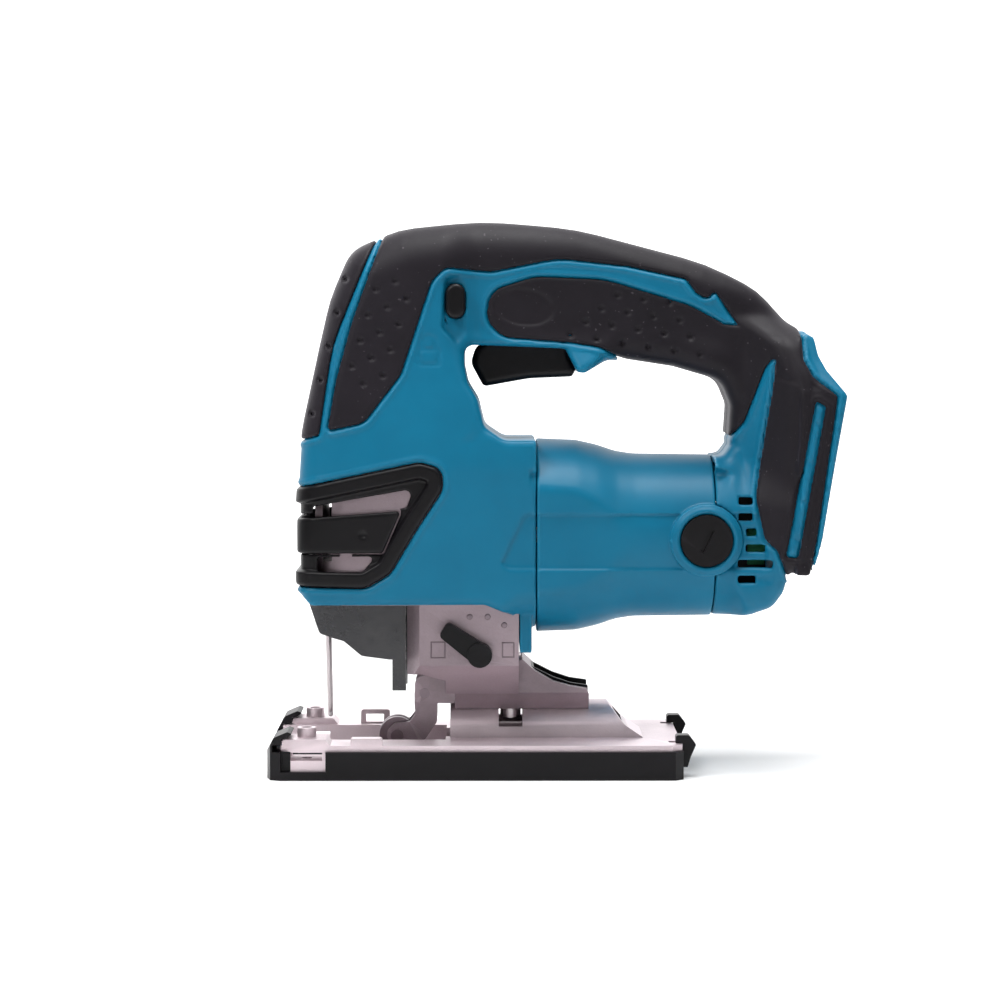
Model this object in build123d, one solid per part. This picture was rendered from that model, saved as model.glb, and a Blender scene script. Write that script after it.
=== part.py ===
from build123d import *
import math
import os

# Cordless D-handle jigsaw, bare tool: millimetres, nose towards -X, battery mount towards +X,
# +Z up, sole on z = 0. Every point list below is (x, z) or (x, z, corner radius) in side view.

# ---------------------------------------------------------------- driving dimensions
SOLE_T = 2.5                # cover plate thickness under the shoe
SHOE_HALF = 36.4            # half width of the cast shoe
COVER_HALF = 38.5           # half width over the cover plate's side walls
SHOE_TOP = 13.0             # top face of the shoe
PRONG_IN = 20.0             # half width of the shoe's blade opening
SLOT_HALF = 14.0            # half width of the cover plate's blade slot

TILT_Z = 11.0               # height of the bevel axis
HUMP_R = 15.0               # outer radius of the shoe's half-round hump
HUMP_WALL = 3.0
SADDLE_GAP = 0.3            # running gap between hump and foot
FOOT_WEDGE = 36.0           # half angle the foot may fill, so it can tilt 45 degrees
BOLT_X = -17.0
BOLT_R = 4.0
SLIDE_TRAVEL = 15.0
GUIDE_SCREW = (-94.6, 28.0) # guide rule screw, x and y

ROD_X = -70.0               # axis of the reciprocating rod
ROD_R = 5.0
STROKE = 26.0
RUN_FIT = 0.05              # radial clearance of running fits

MOTOR_Z = 90.2              # axis of the armature
MODULE = 0.8
GEAR_TEETH = 62
PINION_TEETH = 9
GEAR_Z = MOTOR_Z + MODULE * (GEAR_TEETH + PINION_TEETH) / 2
CRANK_R = STROKE / 2
PIN_Z = GEAR_Z + CRANK_R
CLAMP_LOW, CLAMP_HIGH = 47.5, 64.5   # blade clamp, with the rod at the top of its stroke
SLIT = 0.8                  # half width of the slit for the blade's shank

NOSE_HALF = 31.5
HANDLE_HALF = 19.5
MOUNT_HALF = 37.4           # half width of the battery mount's flange
WALL = 2.6                  # plastic wall
CASE_TOP = 125.4            # top of the gear housing behind the gear, under the finger opening
SKIN = 1.6                  # elastomer thickness

ARM_PIN = (-50.2, 29.5)     # roller arm pivot
ROLLER = (-60.9, 12.6)      # roller axis
ROLLER_R = 7.0
LEVER = (-28.9, 46.5)       # orbital lever pivot
BUTTON = (-38.0, 180.4)     # lock button centre
BRUSH = (56.8, MOTOR_Z)     # brush cap centre
TRIGGER_PIN = (3.0, 166.0)
OPENER_PIN = (-80.0, 30.8)  # release lever pivot, x and y

# ---------------------------------------------------------------- side outlines
NOSE = [(-93, 65, 2.5), (-98.8, 71, 5), (-99, 104), (-97.4, 131, 60), (-86.8, 181, 60),
        (-78.6, 200.2, 14), (-60, 208.3, 40), (-33, 211.4), (-33, 148, 2), (-28.6, 142, 6),
        (-26.6, 133, 4), (-19.5, 128.2, 6), (-7.3, 128.2), (-7.3, 55), (-14.2, 56.5, 1.5),
        (-18, 61.5, 2), (-26.9, 65.2, 4)]
HANDLE = [(-62, 207.6), (-29, 211.5, 90), (8.2, 207.9, 100), (57.7, 194.9, 80),
          (77.5, 184.6, 30), (88.5, 172.4, 12), (95, 169.4), (95, 125), (66.5, 125),
          (66.9, 141, 6), (63, 150.5, 8), (45.5, 155.6, 20), (26.1, 158.8, 10),
          (6.4, 163.9), (-24, 166.3, 6), (-40, 166.8), (-62, 166.8)]
FINGER_STOP = [(6.4, 163.9, 1), (9.3, 153.9, 0.8), (11.5, 154.3, 1), (17, 158.3, 3),
               (26.1, 158.8), (22, 168), (6.4, 168)]
COLUMN = [(66.5, 118), (66.9, 141), (70, 154), (80, 171), (88.5, 172.3), (97.6, 167.5, 2),
          (99.4, 159.5, 3), (102.6, 154.2, 3), (107.8, 145.2), (103.5, 118)]
TAIL = [(60.5, 59.2), (74.5, 60.8, 8), (83.5, 63.8, 8), (89.6, 72.5, 3), (91.5, 77),
        (96.4, 78, 2), (99.9, 90, 12), (105, 122), (66.4, 126), (63.6, 121.7, 3), (60.5, 121.7)]
FLANGE = [(90.5, 77.4), (96.2, 77.2, 2), (100, 91, 14), (109.5, 145.2, 1.5), (102, 154.6, 3),
          (99.2, 160, 3), (97.6, 167.5, 2), (92, 168)]
FRONT_PAD = [(-112, 126.3), (-89.4, 129.6, 1), (-84.4, 164), (-67.7, 204.8), (-64, 216),
             (-112, 216)]
TOP_GRIP = [(-86.6, 131.2, 1), (-72.4, 134.3, 8), (-58.5, 152.5, 10), (-46.9, 187.9, 10),
            (-41.8, 193, 3), (-24.7, 191.3, 6), (0.9, 196.4, 30), (27, 193.6, 30),
            (49.5, 188.7, 3), (56.2, 181.3, 4), (60, 183.6, 2), (71, 168.4), (79, 158),
            (92.7, 158), (92.7, 216), (-62, 216), (-66.2, 203.9), (-77.6, 171.7, 60),
            (-83.4, 150.2, 60)]
PALM_GRIP = [(72, 167), (51.6, 178.9, 30), (18.6, 188.9, 40), (-8, 190, 14), (-24.5, 184, 7),
             (-26.8, 173, 6), (-20, 167, 8), (5.6, 165), (15.4, 162.9, 6), (25.3, 158.9),
             (26, 148), (60, 148), (60, 128.6), (66.3, 128.2), (72.1, 134.6, 6), (79.5, 156)]
REAR_PAD = [(82.7, 160), (81.5, 146.2), (75.3, 106, 8), (78.6, 90.2, 6), (83.1, 86.4, 2),
            (87.2, 76), (96, 76), (99.2, 92), (106.6, 144.6, 1), (96.6, 152, 2),
            (93.2, 158.5, 3), (92.8, 172), (82, 172)]
REAR_SLOT = [(97.4, 142.6, 0.6), (100.6, 140.6, 0.6), (90.8, 84.2, 0.6), (86.8, 84.5, 0.6)]
WINDOW = [(-112, 108.6), (-96, 110.3), (-51.6, 119.6, 6), (-43.2, 117.2, 4), (-42.8, 109.5, 4),
          (-53, 93.9), (-62.8, 77.4, 6), (-72, 71.9, 6), (-90.9, 72.4), (-112, 73.4)]
SLOT_HIGH = [(-91.8, 102.9, 0.8), (-54, 109.6, 1.5), (-56.6, 102.4, 1), (-91.9, 99.3, 0.6)]
SLOT_LOW = [(-90.2, 83.8, 0.8), (-68.3, 84, 0.8), (-73.2, 78.2, 2), (-90.2, 78.3, 0.8)]
OPENER = [(-112, 84.9), (-65.5, 85.2, 0.5), (-58.4, 101.4, 0.5), (-112, 97.4)]
OPENER_GAP = 0.4
SWING_GAP = 0.9             # more room over the lever, which rises towards its free end

PARTS = {}


# ---------------------------------------------------------------- helpers
def profile(points):
    """A face in the XZ plane whose corners carry their own radii, kept short of their edges."""
    count = len(points)
    radii = []
    for i in range(count):
        before, here, after = points[i - 1], points[i], points[(i + 1) % count]
        a = Vector(here[0] - before[0], here[1] - before[1])
        b = Vector(after[0] - here[0], after[1] - here[1])
        half_turn = math.radians(a.get_angle(b)) / 2
        room = 0.45 * min(a.length, b.length)
        wanted = here[2] if len(here) == 3 else 0.0
        if wanted * math.tan(half_turn) > room:
            wanted = room / math.tan(half_turn)
        radii.append(wanted if half_turn > 0.01 and wanted > 0.05 else 0.0)
    corners = [(p[0], p[1]) for p in points]
    return Plane.XZ * make_face(FilletPolyline(*corners, radius=radii, close=True))


def slab(points, low, high):
    """A plate between y = low and y = high with the given side outline."""
    return Pos(0, high, 0) * extrude(profile(points), amount=high - low, dir=(0, -1, 0))


def inset(points, depth):
    """The outline moved inwards by depth, with its corner radii adjusted to match."""
    if depth == 0:
        return points
    count = len(points)
    area = sum(points[i][0] * points[(i + 1) % count][1] - points[(i + 1) % count][0] * points[i][1]
               for i in range(count))
    side = 1.0 if area > 0 else -1.0
    moved = []
    for i in range(count):
        before, here, after = points[i - 1], points[i], points[(i + 1) % count]
        a = Vector(here[0] - before[0], here[1] - before[1]).normalized()
        b = Vector(after[0] - here[0], after[1] - here[1]).normalized()
        cross = a.X * b.Y - a.Y * b.X
        normal_a = Vector(-a.Y, a.X) * side
        normal_b = Vector(-b.Y, b.X) * side
        mitre = (normal_a + normal_b) * (depth / (1.0 + normal_a.dot(normal_b)))
        radius = here[2] if len(here) == 3 else 0.0
        if radius > 0:
            convex = cross * side > 0
            radius = max(radius - depth, 0.0) if convex else radius + depth
        moved.append((here[0] + mitre.X, here[1] + mitre.Y, radius))
    return moved


def block(x0, x1, y0, y1, z0, z1):
    """A box between two corners."""
    return Pos((x0 + x1) / 2, (y0 + y1) / 2, (z0 + z1) / 2) * Box(x1 - x0, y1 - y0, z1 - z0)


def rod_x(x0, x1, y, z, radius):
    """A cylinder along X."""
    return Pos((x0 + x1) / 2, y, z) * Rot(0, 90, 0) * Cylinder(radius, x1 - x0)


def rod_y(y0, y1, x, z, radius):
    """A cylinder along Y."""
    return Pos(x, (y0 + y1) / 2, z) * Rot(90, 0, 0) * Cylinder(radius, y1 - y0)


def rod_z(z0, z1, x, y, radius):
    """A cylinder along Z."""
    return Pos(x, y, (z0 + z1) / 2) * Cylinder(radius, z1 - z0)


def mirrored(shape):
    """The shape together with its image on the other side of the y = 0 plane."""
    return shape + mirror(shape, about=Plane.XZ)


def half_section(points, x0, x1):
    """A bar along X whose cross-section is symmetric: points are (half width, z)."""
    outline = [(p[0], p[1]) for p in points] + [(-p[0], p[1]) for p in reversed(points)]
    face = Plane.YZ * make_face(Polyline(*outline, close=True))
    return Pos(x0, 0, 0) * extrude(face, amount=x1 - x0, dir=(1, 0, 0))


def half_plan(points, z0, z1):
    """A column along Z whose plan is symmetric: points are (x, half width)."""
    outline = [(p[0], p[1]) for p in points] + [(p[0], -p[1]) for p in reversed(points)]
    face = make_face(Polyline(*outline, close=True))
    return Pos(0, 0, z0) * extrude(face, amount=z1 - z0)


def gear(teeth, x0, x1, phase):
    """A spur gear blank about the X axis, with straight-flanked teeth."""
    pitch_r = MODULE * teeth / 2
    root_r = pitch_r - 1.25 * MODULE
    tip_r = pitch_r + 0.85 * MODULE
    step = 2 * math.pi / teeth
    ring = []
    for i in range(teeth):
        centre = i * step + phase
        for radius, share in ((root_r, -0.34), (tip_r, -0.10), (tip_r, 0.10), (root_r, 0.34)):
            angle = centre + share * step
            ring.append((radius * math.cos(angle), radius * math.sin(angle)))
    face = Plane.YZ * make_face(Polyline(*ring, close=True))
    return Pos(x0, 0, 0) * extrude(face, amount=x1 - x0, dir=(1, 0, 0))


def wedge(x0, x1, half_angle, reach):
    """The sector above the bevel axis that a tilting part may fill."""
    side = reach * math.tan(math.radians(half_angle))
    return half_section([(0, TILT_Z), (side, TILT_Z + reach)], x0, x1)


def arc_band(inner, outer, start, stop, x0, x1):
    """A ring sector about the bevel axis; angles in degrees from straight up, + towards +Y."""
    points = []
    steps = 12
    for radius, order in ((inner, range(steps + 1)), (outer, range(steps, -1, -1))):
        for i in order:
            angle = math.radians(start + (stop - start) * i / steps)
            points.append((radius * math.sin(angle), TILT_Z + radius * math.cos(angle)))
    face = Plane.YZ * make_face(Polyline(*points, close=True))
    return Pos(x0, 0, 0) * extrude(face, amount=x1 - x0, dir=(1, 0, 0))


def keep(name, shape):
    """Stores a node under its name."""
    PARTS[name] = shape


def gear_casting_form():
    """The gear housing's outer form above the foot, as one solid block."""
    upper_plan = [(-91.5, 21), (-87, 25.5), (-80, 28.2), (-16, 28.2)]
    body = half_plan(upper_plan, 65.3, 147.6)
    body &= half_section([(28.2, 60), (28.2, 126), (22.5, 147.6), (22.5, 150)], -95, 0)
    body += rod_z(147, 162, ROD_X, 0, 11.5)
    body -= block(-36.5, 0, -40, 40, CASE_TOP, 200)
    lower_plan = [(-56.7, 17), (-51.8, 25), (-14.0, 25)]
    lower = half_plan(lower_plan, 29.9, 66)
    lower_front = [(14, 29.9), (25, 42), (25, 70)]
    lower &= half_section(lower_front, -60, 0)
    lower -= slab([(-60, 20), (-60, 37.5), (-52, 38.4), (-42, 35.5), (-42, 20)], -30, 30)
    body += lower
    return body


# ---------------------------------------------------------------- housing envelope
def envelope(depth):
    """The plastic housing's outer form, moved inwards by depth."""
    nose_front = [(NOSE_HALF - depth, 40), (NOSE_HALF - depth, 120), (29.5 - depth, 138),
                  (26.5 - depth, 165), (25 - depth, 190), (19.5 - depth, 205.5 - depth / 2),
                  (12 - depth / 2, 212 - depth)]
    nose_plan = [(-99.4 + depth, 13), (-98 + depth, 21 - depth / 2), (-94, 26.5 - depth),
                 (-88, 30 - depth), (-80, NOSE_HALF + 0.5 - depth), (0, NOSE_HALF + 0.5 - depth)]
    nose = slab(inset(NOSE, depth), -NOSE_HALF - 1, NOSE_HALF + 1)
    nose &= half_section(nose_front, -120, 10)
    nose &= half_plan(nose_plan, 30, 220)
    handle = slab(inset(HANDLE, depth), depth - HANDLE_HALF, HANDLE_HALF - depth)
    handle_top = [(HANDLE_HALF - depth, 100), (HANDLE_HALF - depth, 196), (13 - depth, 212 - depth)]
    handle &= half_section(handle_top, -70, 100)
    column_plan = [(64, 19 - depth), (72, 21 - depth), (80, 27.5 - depth), (88, 33 - depth),
                   (95, 36 - depth), (112, 36 - depth)]
    column_front = [(38, 100), (38, 150), (30 - depth, 164), (18 - depth, 173)]
    column = slab(inset(COLUMN, depth), -40, 40) & half_plan(column_plan, 100, 180)
    column &= half_section(column_front, 60, 115)
    tail_front = [(20 - depth, 58), (28 - depth, 64.5), (NOSE_HALF - depth, 75),
                  (NOSE_HALF - depth, 107), (26 - depth, 118), (20 - depth, 128)]
    tail = slab(inset(TAIL, depth), -40, 40) & half_section(tail_front, 60, 110)
    flange_front = [(MOUNT_HALF - depth, 70), (MOUNT_HALF - depth, 146), (30 - depth, 158),
                    (26 - depth, 170)]
    flange = slab(inset(FLANGE, depth), -40, 40) & half_section(flange_front, 80, 112)
    whole = nose + handle + column + tail + flange
    if depth == 0:
        whole += slab(FINGER_STOP, -HANDLE_HALF, HANDLE_HALF)
    return whole


MOUNT_TILT = math.degrees(math.atan2(9.5, 54.2))
MOUNT = Pos(100, 0, 91) * Rot(0, MOUNT_TILT, 0)   # local z runs up the rails, x points out


def battery_socket():
    """The undercut channel that the battery's rails slide into from below."""
    mouth = MOUNT * block(-3.2, 20, -26, 26, -30, 52)
    rails = MOUNT * block(-10, -3.2, -30.5, 30.5, -30, 52)
    latch = MOUNT * block(-14, -9, -9, 9, 30, 40)
    return mouth + rails + latch


SCREWS = [(-85.5, 158, 23), (-62, 198, 19), (2, 200.5, 15), (62, 186.5, 15), (82, 69, 22),
          (84, 163.5, 17), (-11.5, 119, 26), (-10.8, 62.5, 26)]


def screw_bosses():
    """Pillars inside the shells that the housing screws pass through."""
    bosses = [rod_y(-side - 3, side + 3, x, z, 3.9) for x, z, side in SCREWS]
    return Compound(bosses)


def screws():
    """Pan-head tapping screws, heads on the right-hand side."""
    group = []
    for x, z, side in SCREWS:
        head = rod_y(side - 2.4, side, x, z, 3.1)
        shank = rod_y(-side + 6, side - 2.4, x, z, 1.6)
        cross = rod_y(side - 1.2, side + 1, x, z, 1.0)
        group.append(head + shank - cross)
    return Compound(group)


def screw_holes():
    """Clearance for the screws: a head counterbore and a hole that fits the shank."""
    holes = []
    for x, z, side in SCREWS:
        holes.append(rod_y(side - 2.4, 45, x, z, 3.1))
        holes.append(rod_y(-side + 6, side - 2.4, x, z, 1.6))
    return Compound(holes)


def vents():
    """Six cooling slots on each side of the tail, near the brushes."""
    slots = []
    rows = [(69, 74.2, 106.3), (69, 74, 100.4), (71.9, 75.6, 94.6), (71.7, 79, 88.6),
            (68.7, 81.5, 82.7), (68.7, 75.4, 76.8)]
    for x0, x1, top in rows:
        slots.append(block(x0, x1, -40, -20, top - 2.8, top))
        slots.append(block(x0, x1, 20, 40, top - 2.8, top))
    return Compound(slots)


def build_housing():
    outer = envelope(0)
    core = envelope(SKIN)
    hollow = envelope(WALL)
    skin = outer - core
    grip_zone = slab(FRONT_PAD, -45, 45) + slab(TOP_GRIP, -45, 45) + slab(PALM_GRIP, -45, 45)
    grip_zone += slab(REAR_PAD, -45, 45) - slab(REAR_SLOT, -45, 45)
    socket = battery_socket()
    button = BUTTON[0], BUTTON[1]
    button_hole = slab([(button[0] - 4, button[1] - 6.8, 3.9), (button[0] + 4, button[1] - 6.8, 3.9),
                        (button[0] + 4, button[1] + 6.8, 3.9), (button[0] - 4, button[1] + 6.8, 3.9)],
                       -40, 40)
    pin_hole = rod_y(-12, 12, TRIGGER_PIN[0], TRIGGER_PIN[1], 1.5)
    trigger_room = slab(TRIGGER_POCKET, -9.9, 9.9) + pin_hole
    grips = (skin & grip_zone) - socket - button_hole - screw_holes() - trigger_room
    window_zone = slab(WINDOW, -45, 45) & block(-112, -30, -45, 45, 60, 130)
    frame_ring = window_zone & (outer - hollow)
    openers = slab(inset(OPENER, -OPENER_GAP), -45, 45)
    openers += Pos(0, 0, SWING_GAP) * openers
    far_bar = block(OPENER_PIN[0] + 3.2, -40, 0, 45, 70, 120)
    openers -= far_bar
    frames = frame_ring - slab(SLOT_HIGH, -45, 45) - slab(SLOT_LOW, -45, 45) - openers
    frames -= rod_z(84, 103, OPENER_PIN[0], OPENER_PIN[1], 2.7)
    frames -= rod_z(81, 104, OPENER_PIN[0], OPENER_PIN[1], 1.2)
    opener = slab(OPENER, -45, 45) & (outer - envelope(2.0))
    opener -= block(OPENER_PIN[0], -40, 0, 45, 70, 120)
    opener += rod_z(86, 96.5, OPENER_PIN[0], OPENER_PIN[1], 2.2)
    opener -= rod_z(80, 104, OPENER_PIN[0], OPENER_PIN[1], 1.2 + RUN_FIT)
    keep("release_lever", opener)
    keep("release_lever_pin", rod_z(81, 104, OPENER_PIN[0], OPENER_PIN[1], 1.2))

    inside = hollow - screw_bosses()
    inside -= rod_x(66, 74.5, 0, MOTOR_Z, 11) - rod_x(60, 80, 0, MOTOR_Z, 8)
    shell = outer - inside
    shell += block(-13.7, -9.1, -25.2, 25.2, 46.9, 58)
    shell = shell - grip_zone + (shell & core & grip_zone)
    shell -= window_zone
    floor = MOUNT * block(-12.4, -10, -34, 34, -14, 56) & hollow
    shell += floor - MOUNT * block(-16, -4, -14.2, 14.2, 7.8, 28.2)
    shell -= socket
    shell -= screw_holes()
    shell -= button_hole
    shell -= vents()
    shell -= rod_x(-14, -5, 0, MOTOR_Z, 29)
    shell -= rod_x(58, 68, 0, MOTOR_Z, 22)
    shell -= rod_y(-45, 45, BRUSH[0], BRUSH[1], 12.5)
    shell -= trigger_room
    shell -= gear_casting_form()
    shell -= half_plan([(-93.6, 22), (-91.4, 22), (-88.4, 25.5)], 66.5, 146)
    shell -= slab([(-112, 66), (-92, 66), (-92, 80.5), (-112, 80.5)], -5.4, 5.4)
    shell -= block(-112, -57.2, -18.6, 18.6, 55, 69)
    shell -= block(-60, -13.8, -25.2, 25.2, 40, 69)
    left = shell & block(-120, 120, -50, 0, 0, 230)
    right = shell & block(-120, 120, 0, 50, 0, 230)
    keep("housing_left", largest(left))
    keep("housing_right", largest(right))
    keep("grip_left", grips & block(-120, 120, -50, 0, 0, 230))
    keep("grip_right", grips & block(-120, 120, 0, 50, 0, 230))
    keep("nose_frame_left", frames & block(-120, 120, -50, 0, 0, 230))
    keep("nose_frame_right", frames & block(-120, 120, 0, 50, 0, 230))
    keep("housing_screws", screws())
    keep("trigger_pin", rod_y(-12, 12, TRIGGER_PIN[0], TRIGGER_PIN[1], 1.5))


def largest(shape):
    """The biggest solid of a shape, without crumbs."""
    return shape.solids().sort_by(SortBy.VOLUME)[-1]


# ---------------------------------------------------------------- trigger and buttons
TRIGGER_SHAPE = [(-32.2, 156.1, 3), (-29.8, 162.6, 2), (-24, 163.6), (-18, 169), (5.5, 169, 2),
                 (5.4, 160, 2), (7.9, 153.2, 1), (6, 151.4, 1), (-6, 151.1), (-28.8, 147.8, 2)]
TRIGGER_POCKET = [(-38, 146), (-38, 168), (-26, 174), (9.3, 174), (9.3, 163.5), (6, 160), (6, 146)]


def build_controls():
    trigger = slab(TRIGGER_SHAPE, -9, 9)
    trigger -= rod_y(-10, 10, TRIGGER_PIN[0], TRIGGER_PIN[1], 1.5 + RUN_FIT)
    keep("trigger", trigger)
    keep("switch_body", slab([(-20, 174.5, 1), (8, 174.5, 1), (8, 190, 1), (-20, 190, 1)], -8, 8))
    x, z = BUTTON
    oval = [(x - 3.6, z - 6.35, 3.5), (x + 3.6, z - 6.35, 3.5), (x + 3.6, z + 6.35, 3.5),
            (x - 3.6, z + 6.35, 3.5)]
    keep("lock_button", slab(oval, -26.6, 22.6))
    hub = rod_y(-30.5, -25.3, LEVER[0], LEVER[1], 4.7)
    blade = [(-30.6, 42.5, 1.5), (-44.4, 53.7, 1.8), (-41.0, 59.2, 1.8), (-25.8, 49.8, 1.5)]
    lever = hub + slab(blade, -29.6, -25.6)
    lever += rod_y(-25.4, -14, LEVER[0], LEVER[1], 3.0)
    keep("orbital_lever", lever)


# ---------------------------------------------------------------- motor
def revolved(points):
    """A turned body about the motor axis; points are (x, radius)."""
    outline = [(x, MOTOR_Z + radius) for x, radius in points]
    outline += [(points[-1][0], MOTOR_Z), (points[0][0], MOTOR_Z)]
    face = Plane.XZ * make_face(Polyline(*outline, close=True))
    return revolve(face, axis=Axis((0, 0, MOTOR_Z), (1, 0, 0)))


def build_motor():
    barrel = revolved([(-7.3, 37.9), (8, 37.2), (16, 35.2), (23, 32.8), (30, 31.9), (60.5, 31.5)])
    barrel &= block(-10, 70, -32, 32, 0, 200)
    bore = revolved([(-8, 34.6), (8, 34), (15, 32.2), (30, 29.2), (54, 28.8), (54.1, 24), (62, 24)])
    bore &= block(-10, 70, -29.2, 29.2, 0, 200)
    rings = rod_x(10, 14, 0, MOTOR_Z, 31) + rod_x(42, 46, 0, MOTOR_Z, 29.2)
    rings &= block(0, 60, -29.2, 29.2, 0, 200)
    rings -= rod_x(5, 50, 0, MOTOR_Z, 27.5)
    brush_ring = mirrored(rod_y(24.5, 33.0, BRUSH[0], BRUSH[1], 12.5))
    housing = barrel - bore + rings + brush_ring
    housing -= rod_x(5, 50.3, 0, MOTOR_Z, 27.5)
    housing -= mirrored(rod_y(28.2, 34, BRUSH[0], BRUSH[1], 9.7))
    housing -= mirrored(block(BRUSH[0] - 4.5, BRUSH[0] + 4.5, 20, 29, MOTOR_Z - 5.5, MOTOR_Z + 5.5))
    keep("motor_housing", housing)
    cap = rod_y(28.2, 33.4, BRUSH[0], BRUSH[1], 9.7)
    cap -= Pos(BRUSH[0], 33.4, BRUSH[1]) * Rot(0, 25, 0) * Box(1.6, 2, 9)
    keep("brush_caps", mirrored(cap))
    holder = block(BRUSH[0] - 4.5, BRUSH[0] + 4.5, 12.5, 28.2, MOTOR_Z - 5.5, MOTOR_Z + 5.5)
    holder -= block(BRUSH[0] - 3.2, BRUSH[0] + 3.2, 12, 29, MOTOR_Z - 4.2, MOTOR_Z + 4.2)
    keep("brush_holders", mirrored(holder))
    brush = block(BRUSH[0] - 3.2, BRUSH[0] + 3.2, 11.4, 20, MOTOR_Z - 4.2, MOTOR_Z + 4.2)
    keep("carbon_brushes", mirrored(brush))
    spring = rod_y(20, 28.2, BRUSH[0], BRUSH[1], 2.8) - rod_y(19, 29, BRUSH[0], BRUSH[1], 1.8)
    keep("brush_springs", mirrored(spring))

    keep("motor_can", rod_x(6, 50, 0, MOTOR_Z, 27.5) - rod_x(5, 51, 0, MOTOR_Z, 25.3))
    ring = rod_x(9, 44, 0, MOTOR_Z, 25.3) - rod_x(8, 45, 0, MOTOR_Z, 20.6)
    keep("magnets", ring - block(0, 50, -30, 30, MOTOR_Z - 6, MOTOR_Z + 6))
    shaft = rod_x(-39.5, 76, 0, MOTOR_Z, 3.0)
    shaft += Pos(0, 0, MOTOR_Z) * gear(PINION_TEETH, -52, -39.5, math.pi / PINION_TEETH + math.pi / 2)
    keep("armature_shaft", shaft)
    core = rod_x(11, 42, 0, MOTOR_Z, 20)
    for i in range(12):
        slot = Pos(0, 0, MOTOR_Z) * Rot(i * 30, 0, 0) * block(10, 43, -1.2, 1.2, 13, 21)
        core -= slot
    keep("armature_core", core - rod_x(10, 43, 0, MOTOR_Z, 3))
    front_coil = rod_x(5, 11, 0, MOTOR_Z, 17.5) - rod_x(4, 12, 0, MOTOR_Z, 6)
    rear_coil = rod_x(42, 49, 0, MOTOR_Z, 17.5) - rod_x(41, 50, 0, MOTOR_Z, 6)
    keep("armature_windings", front_coil + rear_coil)
    bars = rod_x(51.5, 62, 0, MOTOR_Z, 11) - rod_x(51, 63, 0, MOTOR_Z, 3)
    for i in range(12):
        bars -= Pos(0, 0, MOTOR_Z) * Rot(i * 30 + 15, 0, 0) * block(51, 63, -0.3, 0.3, 9.5, 12)
    keep("commutator", bars)
    hub = rod_x(-6, 3, 0, MOTOR_Z, 6) + rod_x(-6, -4.8, 0, MOTOR_Z, 25)
    for i in range(13):
        vane = Pos(0, 0, MOTOR_Z) * Rot(i * 360 / 13, 0, 0) * block(-5, 2.5, -0.7, 0.7, 9, 24.5)
        hub += vane
    keep("cooling_fan", hub - rod_x(-7, 4, 0, MOTOR_Z, 3))
    front = rod_x(-14, -8, 0, MOTOR_Z, 9.5) - rod_x(-15, -7, 0, MOTOR_Z, 3 + RUN_FIT)
    keep("front_bearing", front)
    rear = rod_x(67.5, 73.5, 0, MOTOR_Z, 8) - rod_x(67, 74, 0, MOTOR_Z, 3 + RUN_FIT)
    keep("rear_bearing", rear)


# ---------------------------------------------------------------- gear train and plunger
def build_drive():
    wheel = Pos(0, 0, GEAR_Z) * gear(GEAR_TEETH, -50, -42, -math.pi / 2)
    wheel += rod_x(-42, -38.5, 0, GEAR_Z, 9)
    wheel -= rod_x(-60, -30, 0, GEAR_Z, 5 + RUN_FIT)
    wheel -= rod_x(-60, -30, 0, PIN_Z, 4)
    for angle in (90, 150, 210, 270):
        hole = Pos(0, 0, GEAR_Z) * Rot(angle, 0, 0) * rod_x(-60, -30, 0, 16, 4)
        wheel -= hole
    keep("drive_gear", wheel)
    keep("crank_pin", rod_x(-57.5, -42, 0, PIN_Z, 4))
    keep("gear_spindle", rod_x(-50.4, -20, 0, GEAR_Z, 5) + rod_x(-52, -50.3, 0, GEAR_Z, 6.4))

    keep("plunger_rod", rod_z(CLAMP_HIGH - 10, 189, ROD_X, 0, ROD_R))
    low, high = PIN_Z - 8.5, PIN_Z + 8.5
    yoke = block(-63.2, -58, -22, 22, low, high)
    yoke += block(-78, -63.2, -8, 8, low, high)
    yoke -= block(-63.2, -57, -18.6, 18.6, PIN_Z - 4.2 - 2, PIN_Z + 4.2 + 2)
    yoke -= rod_z(low - 1, high + 1, ROD_X, 0, ROD_R)
    keep("yoke", yoke)
    slider = block(-63.2, -58.4, -6.5, 6.5, PIN_Z - 6.2, PIN_Z + 6.2)
    keep("slider_block", slider - rod_x(-70, -50, 0, PIN_Z, 4.1) - rod_z(60, 180, ROD_X, 0, ROD_R))
    for name, z0, z1 in (("upper_bushing", 150, 161), ("lower_bushing", 66, 79)):
        bush = rod_z(z0, z1, ROD_X, 0, 8) - rod_z(z0 - 1, z1 + 1, ROD_X, 0, ROD_R + RUN_FIT)
        keep(name, bush)

    low, high = CLAMP_LOW, CLAMP_HIGH
    rod_end = high - 10
    holder = rod_z(low, high, ROD_X, 0, 6) + rod_z(low, low + 1.2, ROD_X, 0, 7.6)
    holder -= rod_z(rod_end, high + 1, ROD_X, 0, ROD_R)
    holder -= block(ROD_X - 4, ROD_X + 4, -SLIT, SLIT, low - 1, rod_end)
    keep("blade_clamp_body", holder)
    sleeve = rod_z(low + 1.6, low + 11, ROD_X, 0, 8.4) - rod_z(low, low + 12, ROD_X, 0, 6 + RUN_FIT)
    sleeve += block(ROD_X + 7, ROD_X + 9.6, -1.6, 1.6, low + 2.4, low + 10)
    keep("clamp_sleeve", sleeve)
    coil = rod_z(low + 11.6, high - 1, ROD_X, 0, 7.6) - rod_z(low + 11, high, ROD_X, 0, 6.3)
    keep("clamp_spring", coil)


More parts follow.
